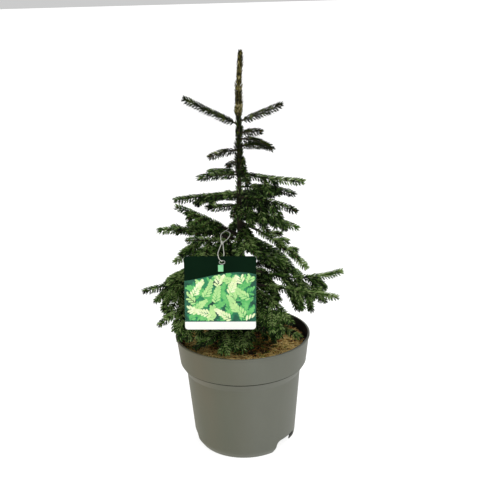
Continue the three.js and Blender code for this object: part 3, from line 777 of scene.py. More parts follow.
ANCHOR, ANCHOR_AZIMUTH, ANCHOR_RISE = string_anchor()
STRING_ROUTE = np.array([ANCHOR, KNOT, [LABEL_HOLE["x"], LABEL["front"], LABEL_HOLE["z"]]])
plant = []
for name, height, azimuth, length, rise_start, rise_end, limb, pairs, side_length, hang, seed in BOUGHS:
    stem = Line(trunk_at(height), azimuth, rise_start, rise_end, length)
    plant.append({"name": name, "stem": stem, "limb": limb, "pairs": pairs, "sides": [], "twigs": [],
                  "side_length": side_length, "hang": hang, "seed": seed})


def shoots_of(bough):
    """A bough's stem and all that has grown on it so far."""
    return [bough["stem"], *bough["sides"], *bough["twigs"]]


def segments_beside(bough):
    """The segments of every other bough's shoots."""
    return segments_of([line.points for other in plant if other is not bough for line in shoots_of(other)])


for bough in plant:
    dice = Dice(bough["seed"])
    taken = segments_beside(bough)
    for pair in range(bough["pairs"]):
        for side in (-1, 1):
            shoot = shoot_on(bough["stem"], bough["limb"], pair, bough["pairs"], side,
                             bough["side_length"], bough["hang"], dice)
            free = shoot.points[1:]
            crowded = gap_between(free, taken) < 2 * TOOTH_RADIUS + CLEARANCE
            if not crowded and not touches_fixed(free, STRING_ROUTE):
                bough["sides"].append(shoot)
print(sum(len(bough["sides"]) for bough in plant), "side shoots")

# %% Finer twigs on the side shoots
TWIG_FROM = 26
TWIG_TWO_PAIRS_FROM = 42
TWIG_SHARE = 0.5
TWIG_HANG = 0.35
TWIG_TURN = 38
TWIG_START = 3
TWIG_ROOM = {"other": 7.0, "own": 4.6}

for bough in plant:
    dice = Dice(bough["seed"] * 31 + 7)
    taken = segments_beside(bough)
    for parent in bough["sides"]:
        if parent.length < TWIG_FROM:
            continue
        pairs = 2 if parent.length > TWIG_TWO_PAIRS_FROM else 1
        for pair in range(pairs):
            for side in (-1, 1):
                twig = shoot_on(parent, TWIG_START, pair, pairs, side, parent.length * TWIG_SHARE,
                                bough["hang"] * TWIG_HANG, dice, TWIG_TURN)
                free = twig.points[1:]
                own = [line.points for line in shoots_of(bough) if line is not parent]
                crowded = (gap_between(free, taken) < TWIG_ROOM["other"]
                           or gap_between(free, segments_of(own)) < TWIG_ROOM["own"])
                if not crowded and not touches_fixed(free, STRING_ROUTE):
                    bough["twigs"].append(twig)
lines = [line for bough in plant for line in shoots_of(bough)]
print(sum(len(bough["twigs"]) for bough in plant), "finer twigs;",
      round(sum(line.length for line in lines)), "mm of shoots in all")

# %% [markdown]
# ## Trunk and limbs
#
# The bark of a young spruce is brown and scaly: old needles leave small pegs that run round the stem in
# spirals. A displacement texture could show them, but real relief looks right in any light and survives
# the export. So the trunk is a sleeve of many rings whose radius rises and falls with two crossing
# spirals and a little noise, and the bare limbs are made the same way.

# %% Bark with pegs in spirals
BARK_SIDES = 28
BARK_RING_GAP = 1.1
PEG_HEIGHT = 0.09
TIP_CUT = 0.5
SPIRALS = ((5, 0.9, 0), (3, -0.7, 0.5))
SWELLINGS = ((0.05, 2, 0.11), (0.04, 1, -0.07))
ROUGH_BARK = 0.018
chance = np.random.default_rng(11)


def barked_sleeve(centres, radii, hint, sides=BARK_SIDES, pegs=PEG_HEIGHT):
    """A sleeve whose surface carries spiral rows of pegs and slow swellings."""
    along = np.arange(len(centres))[:, None] * 1.0
    around = 2 * np.pi * np.arange(sides)[None, :] / sides
    left_hand, right_hand = [np.cos(turns * around + rate * along + shift) for turns, rate, shift in SPIRALS]
    swelling = sum(share * np.sin(turns * around + rate * along) for share, turns, rate in SWELLINGS)
    rough = chance.normal(0, ROUGH_BARK, (len(centres), sides))
    relief = 1 + pegs * np.clip(left_hand * right_hand, 0, 1) + swelling + rough
    return sleeve(centres, radii[:, None] * relief, hint)


trunk_heights = np.arange(TRUNK_LINE[0][0], TRUNK_LINE[-1][0] + BARK_RING_GAP, BARK_RING_GAP)
trunk_heights = np.clip(trunk_heights, TRUNK_LINE[0][0], TRUNK_LINE[-1][0] - TIP_CUT)
trunk_heights = np.unique(trunk_heights)
trunk_centres = trunk_at(trunk_heights)
trunk_radii = np.interp(trunk_heights, *zip(*TRUNK_RADII))
trunk_points, trunk_quads = barked_sleeve(trunk_centres, trunk_radii, (1, 0, 0))
top = len(trunk_points)
trunk_points = np.concatenate([trunk_points, [trunk_centres[0]], [trunk_centres[-1] + (0, 0, TIP_CUT)]])
rim = np.arange(BARK_SIDES)
rim_next = (rim + 1) % BARK_SIDES
last_ring = top - BARK_SIDES
low_cap = np.column_stack([np.full(BARK_SIDES, top), rim_next, rim])
high_cap = np.column_stack([np.full(BARK_SIDES, top + 1), last_ring + rim, last_ring + rim_next])

bark_finish = cloudy_finish("young_bark", 0.85, 0.2, (5, (1, 1, 0.6), 5),
                            [(0.25, "100e0a"), (0.5, "221d15"), (0.75, "3d3526")], (0.8,), 0.3, 0.8)
trunk_faces = [trunk_quads, low_cap, high_cap]
trunk_bark = make_piece("trunk_bark", trunk_points, trunk_faces, bark_finish)
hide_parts("trunk")

# %% Bare limbs, and the wood inside every needled shoot
LIMB_RADII = (2.5, 1.7)
SHOOT_RADII = (1.2, 0.7)
TWIG_GAP = 2.0
TIP_BACK = 4.0
SIDE_THICKNESS = 0.85
LIMB_OVERLAP = 6
FOOT_SWELL = {"reach": 12, "times": 1.25}
LIMB_RELIEF = {"sides": 14, "pegs": 0.14}
SHOOT_RELIEF = {"sides": 6, "pegs": 0.1}

limb_parts = []
for bough in plant:
    if bough["limb"]:
        stem = bough["stem"]
        distances = np.arange(0, bough["limb"] + LIMB_OVERLAP, BARK_RING_GAP)
        radii = np.interp(distances, (0, bough["limb"]), LIMB_RADII)
        limb_parts.append(barked_sleeve(stem.places(distances), radii, stem.across, **LIMB_RELIEF))
limb_bark = make_joined("limb_bark", limb_parts, bark_finish)
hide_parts(*[f"bough_{bough['name']}" for bough in plant if bough["limb"]])

shoot_finish = cloudy_finish("shoot_bark", 0.75, 0.3, (4, EVEN, 4),
                             [(0.3, "1a150d"), (0.5, "2a2315"), (0.7, "3e341f")], (0.7,), 0.2, 0.7)
shoot_parts = []
for bough in plant:
    for line in shoots_of(bough):
        is_stem = line is bough["stem"]
        start = bough["limb"] if is_stem else 0
        distances = np.linspace(start, line.length - TIP_BACK, max(3, int((line.length - start) / TWIG_GAP)))
        thick = SHOOT_RADII[0] if is_stem else SIDE_THICKNESS * SHOOT_RADII[0]
        foot = LIMB_RADII[1] if is_stem and bough["limb"] else thick * FOOT_SWELL["times"]
        marks = (start, start + FOOT_SWELL["reach"], line.length)
        radii = np.interp(distances, marks, (foot, thick, SHOOT_RADII[1]))
        shoot_parts.append(barked_sleeve(line.places(distances), radii, line.across, **SHOOT_RELIEF))
make_joined("shoot_bark", shoot_parts, shoot_finish)

# %% [markdown]
# Each shoot ends in a small brown bud of overlapping scales. At three millimetres single scales don't show,
# so a bud is one short sleeve that swells and closes, with a slow ripple round it for the scales.

# %% A small bud at the end of every shoot
BUD = {"length": 3.4, "radius": 1.15, "rings": 6, "sides": 7, "overlap": 0.6, "scales": 0.12}
SIDE_BUD = 0.8

bud_shares = np.linspace(0, 1, BUD["rings"])
bud_outline = BUD["radius"] * np.sin(np.pi * np.clip(0.22 + 0.78 * bud_shares, 0, 0.985)) ** 0.8
bud_turns = 2 * np.pi * np.arange(BUD["sides"]) / BUD["sides"]
bud_parts = []
for bough in plant:
    for line in shoots_of(bough):
        size = 1.0 if line is bough["stem"] else SIDE_BUD
        foot = line.length - TIP_BACK - BUD["overlap"]
        centres = line.places(np.array([foot, line.length]))
        way = (centres[1] - centres[0]) / np.linalg.norm(centres[1] - centres[0])
        centres = centres[0] + way * (bud_shares * BUD["length"] * size)[:, None]
        scales = 1 + BUD["scales"] * np.cos(3 * bud_turns + 9 * bud_shares[:, None])
        bud_parts.append(sleeve(centres, size * bud_outline[:, None] * scales, line.across))
bud_finish = cloudy_finish("bud_scales", 0.6, 0.35, (1.5,), two_tones("3a2413", "6b4a28"), (0.5,), 0.1, 0.6)
make_joined("buds", bud_parts, bud_finish)

# %% [markdown]
# ## Needles
#
# Oriental spruce has the shortest needles of all spruces: stout, glossy, blunt, seven or eight millimetres
# long, four-sided and bent a little forwards. They stand round the shoot in a spiral of 137.5 degrees.
# Those on top lie forwards over the shoot, and those beneath stand out, which gives the shoots their
# smooth backs and combed undersides. Each needle here is a slim body of six faces, pointed at both ends
# and widest past its middle, at its real size. We first lay out where they all grow, then build them by
# the thousand.

# %% Where needles grow on a shoot, and which way they point
GOLDEN_TURN = math.radians(137.508)
NEEDLE = {"length": 8.2, "width": 1.15, "widest": 0.55, "bend": 0.12}
NEEDLE_FACES = np.array([(0, 2, 1), (0, 3, 2), (0, 1, 3), (1, 2, 4), (2, 3, 4), (3, 1, 4)])
NEEDLE_LEAN = {"middle": 53, "top": -18, "chance": 4}
NEEDLE_PITCH = 0.15
NEEDLE_ROW = {"gap": 3.6, "loose": 0.26}
TIP_ZONE = 7.0
FOOT_ZONE = 4.0
NEEDLE_GROWTH = {"at_tip": (0.88, 0.96, 1), "at_foot": (0.7, 1), "chance": (0.9, 1.08)}
NEEDLE_SINK = 0.7
TURN_CHANCE = 0.25
TIP_LEAN = 0.55
LEVEL_LIMIT = 0.35
TOP_SHARE = {"upright": 0.4, "level": 0.6}
SHORT_NEEDLE = {"length": 6, "width": 0.7}
needle_chance = np.random.default_rng(5)


def needles_on(places_of, reach, last, start, end, radii, pitch, lean, size, hint):
    """Roots, ways and lengths of all needles between two distances on a line.

    The way ahead is taken between places a reach before and after each root, from 0 to the last distance.
    """
    distances = np.arange(start, end, pitch)
    count = len(distances)
    if count < 4:
        return None
    rows = np.round(distances / NEEDLE_ROW["gap"])
    row_places = NEEDLE_ROW["gap"] * rows
    distances = np.clip(row_places + NEEDLE_ROW["loose"] * (distances - row_places), start, end)
    roots = places_of(distances)
    before, beyond = np.clip(distances - reach, 0, last), np.clip(distances + reach, 0, last)
    ahead = unit(places_of(beyond) - places_of(before))
    level = np.cross(ahead, (0, 0, 1.0))
    size_level = np.linalg.norm(level, axis=1)[:, None]
    level = level / np.maximum(size_level, TINY)
    level = np.where(size_level > LEVEL_LIMIT, level, np.asarray(hint, dtype=float))
    level = unit(level - ahead * (level * ahead).sum(1)[:, None])
    upper = np.cross(level, ahead)
    turn = np.arange(count) * GOLDEN_TURN + needle_chance.normal(0, TURN_CHANCE, count)
    radial = upper * np.cos(turn)[:, None] + level * np.sin(turn)[:, None]
    levelness = np.clip(1 - abs(ahead[:, 2]), 0, 1)
    top_share = TOP_SHARE["upright"] + TOP_SHARE["level"] * levelness
    angle = lean["middle"] + lean["top"] * radial[:, 2] * top_share
    angle = angle + needle_chance.normal(0, lean["chance"], count)
    left = end - distances
    angle = angle * np.interp(left, (0, TIP_ZONE), (TIP_LEAN, 1))
    angle = np.radians(angle)[:, None]
    ways = ahead * np.cos(angle) + radial * np.sin(angle)
    grown = np.interp(left, (0, 3, TIP_ZONE), NEEDLE_GROWTH["at_tip"])
    grown = grown * np.interp(distances - start, (0, FOOT_ZONE), NEEDLE_GROWTH["at_foot"])
    lengths = NEEDLE["length"] * size * grown * needle_chance.uniform(*NEEDLE_GROWTH["chance"], count)
    roots = roots + radial * (np.interp(distances, *zip(*radii))[:, None] * NEEDLE_SINK)
    return {"roots": roots, "ways": ways, "ahead": ahead, "lengths": lengths, "distances": distances,
            "upward": radial[:, 2], "rows": (rows - rows[0]).astype(int)}


def needle_arrays(batch):
    """Points and triangles of a batch of needles, each three-sided, widest past its middle and pointed."""
    roots, ways, ahead, lengths = batch["roots"], batch["ways"], batch["ahead"], batch["lengths"]
    count = len(roots)
    edge = np.cross(ahead, ways)
    edge /= np.maximum(np.linalg.norm(edge, axis=1), TINY)[:, None]
    back = np.cross(ways, edge)
    bend = (ahead - ways * (ahead * ways).sum(1)[:, None]) * NEEDLE["bend"]
    along = lengths[:, None]
    widest = roots + ways * along * NEEDLE["widest"] + bend * along * NEEDLE["widest"] ** 2
    tips = roots + (ways + bend) * along
    half_width = 0.5 * NEEDLE["width"] * np.clip(along / SHORT_NEEDLE["length"], SHORT_NEEDLE["width"], 1)
    turns = 2 * np.pi * np.arange(3) / 3
    corners = [widest + half_width * (edge * math.cos(t) + back * math.sin(t)) for t in turns]
    points = np.stack([roots, *corners, tips], axis=1).reshape(-1, 3)
    first = (np.arange(count) * 5)[:, None, None]
    return points, (first + NEEDLE_FACES).reshape(-1, 3)


print("a needle is", NEEDLE["length"], "mm long, and they grow", NEEDLE_PITCH, "mm apart along a shoot")

# %% [markdown]
# Needles aren't one green: young ones are lighter than old ones, and whole sprays go together. Here the
# outer and up-facing needles also take lighter greens as painted light, and the inner ones round the trunk
# darker greens as painted shade. A colour stored on every needle would be lost in the export, so each needle
# is dealt to one of four greens, by how far out it grows, how much it faces up, and chance.

# %% Deal every spray of needles to a green
SPRAY_LENGTH = 14
NEEDLE_MIX = {"shoot": 0.09, "spray": 0.06, "row": 0.15, "chance": 0.27, "upward": 0.16, "tip": -0.2}
GREENS = ("deep", "mid", "fresh", "bright")
TIERS = {"top": "top", "second": "top", "third": "upper", "fourth": "upper"}
BASE_LIGHT = {"leader": 0.38, "top": 0.06, "upper": 0.30, "lower": 0.33}
OUTWARD_LIGHT = 0.0024
DARK_TIP = 10
SHOOT_SKIN = [(0, 0.8)]
SIDE_SIZE = 0.94
NEEDLES_FROM = {"limb": 1, "trunk": 6, "stem": 2}
dealt = {}


def light_at(tier, place):
    """Outer sprays are lighter and sprays round the trunk darker, as painted light and shade, with chance in
    both.
    """
    outward = OUTWARD_LIGHT * math.hypot(place[0], place[1])
    return BASE_LIGHT[tier] + outward + needle_chance.normal(0, NEEDLE_MIX["spray"])


def grow_needles(tier, batch):
    """Cuts a batch into sprays along its line, and mixes the greens of each round its own light."""
    if batch is None:
        return
    spray = ((batch["distances"] - batch["distances"][0]) / SPRAY_LENGTH).astype(int)
    lights = np.array([light_at(tier, batch["roots"][spray == k].mean(0)) for k in range(spray.max() + 1)])
    # Needles that face up take lighter greens: painted light from above.
    light = lights[spray] + NEEDLE_MIX["upward"] * batch["upward"]
    light += needle_chance.normal(0, NEEDLE_MIX["shoot"])
    light += NEEDLE_MIX["tip"] * np.clip(1 - (batch["distances"].max() - batch["distances"]) / DARK_TIP, 0, 1)
    light += needle_chance.normal(0, NEEDLE_MIX["row"], batch["rows"].max() + 1)[batch["rows"]]
    light += needle_chance.normal(0, NEEDLE_MIX["chance"], len(spray))
    greens = np.clip(light * len(GREENS), 0, len(GREENS) - 1).astype(int)
    for k, green in enumerate(GREENS):
        if (greens == k).any():
            part = {key: values[greens == k] for key, values in batch.items()}
            dealt.setdefault((tier, green), []).append(part)


def tier_of(bough):
    return TIERS.get(bough["name"].split("_")[0], "lower")


for bough in plant:
    for line in shoots_of(bough):
        is_stem = line is bough["stem"]
        start = NEEDLES_FROM["trunk" if is_stem else "stem"]
        if is_stem and bough["limb"]:
            start = bough["limb"] + NEEDLES_FROM["limb"]
        size = 1.0 if is_stem else SIDE_SIZE
        grow_needles(tier_of(bough), needles_on(
            line.places, 1, line.length, start, line.length - TIP_BACK, SHOOT_SKIN, NEEDLE_PITCH,
            NEEDLE_LEAN, size, line.across))
print({key: sum(len(part["roots"]) for part in parts) for key, parts in dealt.items()})

# %% Needles on the leader and on the trunk below it
LEADER_FOOT = 466
LEADER_TIP = 549
TRUNK_NEEDLES = [
    # part of the crown, from, to, pitch, lean, size
    ("leader", 512, LEADER_TIP - 1, 0.12, {"middle": 25, "top": 0, "chance": 7}, 0.9),
    ("leader", LEADER_FOOT, 512, 0.12, {"middle": 34, "top": 0, "chance": 9}, 0.95),
    ("top", 434, LEADER_FOOT, 0.18, {"middle": 30, "top": 0, "chance": 9}, 0.85),
    ("top", 396, 434, 0.12, {"middle": 46, "top": 0, "chance": 11}, 1.0),
    ("upper", 330, 396, 0.28, {"middle": 38, "top": 0, "chance": 10}, 0.9),
]

for tier, low, high, pitch, lean, size in TRUNK_NEEDLES:
    batch = needles_on(trunk_at, 2, np.inf, low, high, TRUNK_RADII, pitch, lean, size, (1, 0, 0))
    grow_needles(tier, batch)
print({key: sum(len(part["roots"]) for part in parts) for key, parts in dealt.items() if "lower" not in key})

# %% Build the needles, one piece for each green and part of the crown
# The bright greens are pale and greyish: a painted highlight on the lit needles.
GREEN_RAMPS = {
    "leader": (("1d1c0b", "2b2912"), ("413d1d", "565127"), ("6f683a", "887f4b"), ("a0966a", "b8ad82")),
    "top": (("0b1403", "141e07"), ("1f2a08", "2f3b10"), ("3c4a14", "536122"), ("687536", "848f52")),
    "upper": (("060f06", "0e1a0a"), ("1d3213", "2e461c"), ("416026", "587637"), ("7b9158", "9cae74")),
    "lower": (("060f06", "0e1b0a"), ("1c3312", "2d481b"), ("416225", "597a36"), ("7a9352", "9cb173")),
}
for tier, tones in GREEN_RAMPS.items():
    for green, (dark, light) in zip(GREENS, tones):
        parts = dealt.get((tier, green), [])
        if not parts:
            continue
        batch = {key: np.concatenate([part[key] for part in parts]) for key in parts[0]}
        points, faces = needle_arrays(batch)
        finish = cloudy_finish(f"needle_{tier}_{green}", 0.5, 0.08, (3, EVEN, 2), two_tones(dark, light))
        make_piece(f"needles_{tier}_{green}", points, [faces], finish, smooth=False)
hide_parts("foliage_leader")
for tier in ("top", "upper", "lower"):
    names = [f"foliage_{bough['name']}" for bough in plant if tier_of(bough) == tier]
    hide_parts(*names)

# %% [markdown]
# ## The soil
#
# Nursery soil is a mix of peat, shredded bark and fibres, and after a year outdoors a little moss grows on
# it. A bumpy texture on a flat disc would look painted from so near. We make a closed body with an uneven
# top that fills the pot, then strew real crumbs, bark chips, fibres and moss over it, each kind one mesh
# made from arrays. The dice are seeded, so every run strews them the same way.

# %% A body of soil with an uneven top
SOIL_RELIEF = 3
SOIL_CENTRE = 22
SOIL_WAVES = ((0.6, 3, 0.7), (0.4, 5, 0))
SOIL_SIDES = 160
SOIL_RINGS = 46
SEAT_GAP = 0.3
SOIL_EYE = 0.015
LEVEL_ROUND_TRUNK = {"radius": 9, "fade": 10}
GRAIN_OF_SOIL = {"height": 0.22, "from": 10}
strew = np.random.default_rng(23)
SOIL_EDGE = SOIL_TOP - SOIL_RELIEF
WALL_SLOPE = (RIM_RADIUS - LIP_REACH - COLLAR[0]) / (POT_HEIGHT - LIP_DEPTH - COLLAR[1])
SOIL_RADIUS = COLLAR[0] + WALL_SLOPE * (SOIL_EDGE - SOIL_RELIEF - COLLAR[1]) - POT_WALL - SEAT_GAP
LUMPS = 260
LUMP_SIZES = (2.0, 7.0)
LUMP_HEIGHTS = (-1.1, 1.7)
lump_places = strew.uniform(-SOIL_RADIUS, SOIL_RADIUS, (LUMPS, 2))
lump_sizes = strew.uniform(*LUMP_SIZES, LUMPS)
lump_heights = strew.uniform(*LUMP_HEIGHTS, LUMPS) * lump_sizes / LUMP_SIZES[1]


def soil_height(x, y):
    """The soil's level at some places: slow waves near the wall, lumps all over, and level at the trunk."""
    radius = np.hypot(x, y)
    azimuth = np.arctan2(y, x)
    heave = sum(share * np.sin(turns * azimuth + shift) for share, turns, shift in SOIL_WAVES)
    middle = (SOIL_CENTRE + RIM_RADIUS) / 2
    out = np.clip((radius - SOIL_CENTRE) / (middle - SOIL_CENTRE), 0, 1)
    level = SOIL_TOP - SEAT_GAP + out * (SOIL_EDGE + SOIL_RELIEF * heave - SOIL_TOP + SEAT_GAP)
    apart = (x[..., None] - lump_places[:, 0]) ** 2 + (y[..., None] - lump_places[:, 1]) ** 2
    lumps = (lump_heights * np.exp(-apart / lump_sizes ** 2)).sum(-1)
    return level + lumps * np.clip((radius - LEVEL_ROUND_TRUNK["radius"]) / LEVEL_ROUND_TRUNK["fade"], 0, 1)


around = 2 * np.pi * np.arange(SOIL_SIDES) / SOIL_SIDES
soil_radii = SOIL_RADIUS * np.linspace(SOIL_EYE, 1, SOIL_RINGS)[::-1]
rings_x = soil_radii[:, None] * np.cos(around)
rings_y = soil_radii[:, None] * np.sin(around)
top_rings = np.stack([rings_x, rings_y, soil_height(rings_x, rings_y)], axis=-1)
soil_grain = strew.normal(0, GRAIN_OF_SOIL["height"], top_rings.shape[:2])
top_rings[:, :, 2] += soil_grain * (soil_radii[:, None] > GRAIN_OF_SOIL["from"])
inset = POT_WALL + SEAT_GAP
shelf = CHANNEL["height"] + inset
side_outline = [(1, POT_FLOOR + SEAT_GAP), (CHANNEL["inner"] - inset, POT_FLOOR + SEAT_GAP),
                (CHANNEL["inner"] - inset, shelf), (wall_radius(shelf) - inset, shelf),
                (SHOULDER[0] - inset, SHOULDER[1]), (COLLAR[0] - inset, COLLAR[1])]
side_rings = np.array([[(r * math.cos(a), r * math.sin(a), z) for a in around] for r, z in side_outline])
soil_rings = np.concatenate([side_rings, top_rings])
soil_quads = grid_quads(len(soil_rings), SOIL_SIDES)
rim = np.arange(SOIL_SIDES)
soil_caps = np.array([rim[::-1], (len(soil_rings) - 1) * SOIL_SIDES + rim])

soil_finish = new_finish("peat", 0.95, 0.15)
peat_steps = [(0.3, "0c0805"), (0.5, "1d140b"), (0.68, "3e2a15")]
peat = cloud_colours(soil_finish, (3, EVEN, 6), peat_steps)
moss_share = cloud_colours(soil_finish, (26,), [(0.52, "000000"), (0.62, "b0b0b0")])
moss_green = cloud_colours(soil_finish, (1.6, EVEN, 4), two_tones("26300f", "4f5a1d"))
paint(soil_finish, blend_colours(soil_finish, moss_share, peat, moss_green))
grain(soil_finish, clouds(soil_finish, 1.4, EVEN, 5), 0.9, 0.9)
soil_points = soil_rings.reshape(-1, 3)
soil_bed = make_piece("soil_bed", soil_points, [soil_quads, soil_caps], soil_finish, crease=50)
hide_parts("soil")

# %% [markdown]
# What lies on the soil is small and has no order: dark crumbs, flat bark chips, fibres and cushions of moss.
# Particles would need a system that the export can't carry, so two helpers strew lumps and strands as arrays.

# %% Crumbs and chips: small lumps with uneven corners
CRUMB_CORNERS = np.array([(1, 0, 0), (0, 1, 0), (-1, 0, 0), (0, -1, 0), (0, 0, 1), (0, 0, -1)], dtype=float)
CRUMB_FACES = np.array([(0, 1, 4), (1, 2, 4), (2, 3, 4), (3, 0, 4),
                        (1, 0, 5), (2, 1, 5), (3, 2, 5), (0, 3, 5)])


def strewn_places(count, rim=3.0, inner=0.11):
    """Even chance all over the soil from an inner share of its radius, clear of the wall."""
    radii = np.sqrt(strew.uniform(inner ** 2, 1, count)) * (SOIL_RADIUS - rim)
    turns = strew.uniform(0, 2 * np.pi, count)
    x, y = radii * np.cos(turns), radii * np.sin(turns)
    return np.column_stack([x, y, soil_height(x, y)])


LUMP_DENTS = (0.55, 1.0)
LUMP_STRETCH = (1.0, 1.9)
LUMP_TIP = 0.35


def strew_lumps(name, places, sizes, flatness, finish):
    """Eight-faced lumps, each turned, stretched and dented by chance, half sunk into the soil."""
    count = len(places)
    corners = CRUMB_CORNERS[None] * sizes[:, None, None] * strew.uniform(*LUMP_DENTS, (count, 6, 1))
    corners[:, :, 0] *= strew.uniform(*LUMP_STRETCH, count)[:, None]
    corners[:, :, 2] *= flatness
    turn = strew.uniform(0, 2 * np.pi, count)
    tip = strew.normal(0, LUMP_TIP, count)
    x = corners[:, :, 0] * np.cos(tip)[:, None] - corners[:, :, 2] * np.sin(tip)[:, None]
    z = corners[:, :, 0] * np.sin(tip)[:, None] + corners[:, :, 2] * np.cos(tip)[:, None]
    y = corners[:, :, 1]
    turned = np.stack([x * np.cos(turn)[:, None] - y * np.sin(turn)[:, None],
                       x * np.sin(turn)[:, None] + y * np.cos(turn)[:, None], z], axis=-1)
    points = (turned + places[:, None]).reshape(-1, 3)
    faces = (np.arange(count)[:, None, None] * 6 + CRUMB_FACES[None]).reshape(-1, 3)
    return make_piece(name, points, [faces], finish, smooth=False)


def soil_tone(name, dark, light, roughness=0.9):
    return cloudy_finish(name, roughness, 0.2, (2.5, EVEN, 4), two_tones(dark, light), (0.7,), 0.25, 0.8)


# Name, number, inner share of the radius, smallest and largest, flatness, finish and its two tones
STREWN_LUMPS = [
    ("soil_crumbs", 2600, 0.11, (0.5, 1.9), 0.8, "dark_crumbs", "120b07", "33210f"),
    ("bark_chips", 750, 0.11, (1.2, 3.6), 0.3, "brown_bark", "3d2412", "6f4523"),
    # Pale chips lie only on the outer ring, so the soil under the crown stays dark: painted shade.
    ("pale_chips", 700, 0.55, (1.0, 2.8), 0.3, "golden_bark", "8a6030", "d6a660"),
]
for name, count, inner, sizes, flatness, finish, dark, light in STREWN_LUMPS:
    places = strewn_places(count, 3.0, inner)
    strew_lumps(name, places, strew.uniform(*sizes, count), flatness, soil_tone(finish, dark, light))

# %% Fibres and moss
FIBRE_STEPS = 5
FIBRE_CURL = 0.25
FIBRE_TAPER = (0.3, 1, 0.15)
FIBRE_LIFT = {"foot": 0.2, "rest": 0.1}


def strew_fibres(name, places, lengths, width, rise, finish):
    """Slim three-sided strands that lie in soft curves on the soil."""
    parts = []
    for place in places:
        turn = strew.uniform(0, 2 * np.pi)
        curl = strew.normal(0, FIBRE_CURL)
        length = strew.uniform(*lengths)
        step = length / FIBRE_STEPS
        lift = strew.uniform(*rise)
        points = [place + (0, 0, FIBRE_LIFT["foot"])]
        for k in range(FIBRE_STEPS):
            here = turn + curl * k
            slope = lift * (1 - 2 * k / (FIBRE_STEPS - 1))
            points.append(points[-1] + step * np.array([math.cos(here), math.sin(here), slope]))
        points = np.array(points)
        if np.hypot(points[:, 0], points[:, 1]).max() > SOIL_RADIUS - 1:
            continue
        points[:, 2] = np.maximum(points[:, 2], soil_height(points[:, 0], points[:, 1]) + FIBRE_LIFT["rest"])
        radii = np.interp(np.arange(len(points)), (0, 1, len(points) - 1), FIBRE_TAPER) * width
        parts.append(sleeve(points, np.repeat(radii[:, None], 3, axis=1), (0.3, 0.2, 1)))
    return make_joined(name, parts, finish)


straw = soil_tone("straw_fibres", "b48f45", "f2db94", 0.8)
rust = soil_tone("rusty_fibres", "7c5226", "c8924a", 0.85)
moss = soil_tone("moss", "47571a", "8f9c3c", 0.8)
# Straw lies only on the outer ring, so the soil under the crown stays dark: painted shade.
STRAW_FROM = 0.58
strew_fibres("straw_fibres", strewn_places(1500, 6.0, STRAW_FROM), (6, 22), 0.6, (0.05, 0.4), straw)
strew_fibres("rusty_fibres", strewn_places(800, 6.0), (5, 18), 0.62, (0.05, 0.35), rust)
MOSS_BEDS = 90
MOSS_ON_BED = 26
MOSS_SPREAD = 3.2
moss_beds = strewn_places(MOSS_BEDS, 8.0)
moss_roots = np.repeat(moss_beds, MOSS_ON_BED, axis=0)
moss_roots = moss_roots + strew.normal(0, MOSS_SPREAD, moss_roots.shape) * (1, 1, 0)
moss_roots = moss_roots[np.hypot(moss_roots[:, 0], moss_roots[:, 1]) < SOIL_RADIUS - 5]
moss_roots[:, 2] = soil_height(moss_roots[:, 0], moss_roots[:, 1])
strew_fibres("moss_tufts", moss_roots, (2.0, 4.5), 0.34, (0.5, 1.3), moss)

# %% [markdown]
# ## The label
#
# A laminated card hangs in front of the crown on a string: dark at the top, green and teal in the middle and
# white below. One textured plane could show it, but its print would have to come from a file. So the card is
# a real sheet with round corners and a punched hole, and its print is thin layers of ink on it: a dark header
# with an arched edge, a teal field, and sprigs of leaves of our own design.

# %% A sheet with round corners and a hole
LABEL_ROLL = math.radians(1.5)
LABEL_EDGE = 0.12
CORNER_STEPS = 7
EDGE_STEPS = 14


def on_label(shape, depth):
    """Lays flat points of (sideways, height) on the label's plane, turned with it about its hole."""
    shape = np.asarray(shape, dtype=float)
    across = shape[:, 0] - LABEL_HOLE["x"]
    up = shape[:, 1] - LABEL_HOLE["z"]
    x = LABEL_HOLE["x"] + across * math.cos(LABEL_ROLL) + up * math.sin(LABEL_ROLL)
    z = LABEL_HOLE["z"] - across * math.sin(LABEL_ROLL) + up * math.cos(LABEL_ROLL)
    return np.column_stack([x, np.full(len(shape), depth), z])


def label_outline(low_edge, inset=0.0, low_corner=0.0):
    """The card's outline, counter-clockwise: its low edge is a height for every place across."""
    left, right = LABEL["left"] + inset, LABEL["right"] - inset
    top = LABEL["top"] - inset
    corner = LABEL["corner"] - inset
    low_left, low_right = [low_edge(x) + inset + low_corner for x in (left, right)]
    turns = np.linspace(0, np.pi / 2, CORNER_STEPS)

    def arc(x, z, radius, start):
        return [(x + radius * math.cos(start + t), z + radius * math.sin(start + t)) for t in turns]

    across = np.linspace(left + low_corner, right - low_corner, 3 * EDGE_STEPS)
    points = [(x, low_edge(x) + inset) for x in across]
    if low_corner:
        points += arc(right - low_corner, low_right, low_corner, -np.pi / 2)[1:]
    points += [(right, z) for z in np.linspace(points[-1][1], top - corner, EDGE_STEPS)[1:-1]]
    points += arc(right - corner, top - corner, corner, 0)
    points += [(x, top) for x in np.linspace(right - corner, left + corner, EDGE_STEPS)[1:-1]]
    points += arc(left + corner, top - corner, corner, np.pi / 2)
    points += [(left, z) for z in np.linspace(top - corner, low_left, EDGE_STEPS)[1:-1]]
    if low_corner:
        points += arc(left + low_corner, low_left, low_corner, np.pi)[:-1]
    return np.array(points)


def hole_towards(outline, grow=0.0):
    """The hole's edge, one point for each point of an outline, in the same direction."""
    across = outline[:, 0] - LABEL_HOLE["x"]
    up = outline[:, 1] - LABEL_HOLE["z"]
    turn = np.arctan2(up, across)
    return np.column_stack([LABEL_HOLE["x"] + (LABEL_HOLE["width"] / 2 + grow) * np.cos(turn),
                            LABEL_HOLE["z"] + (LABEL_HOLE["height"] / 2 + grow) * np.sin(turn)])


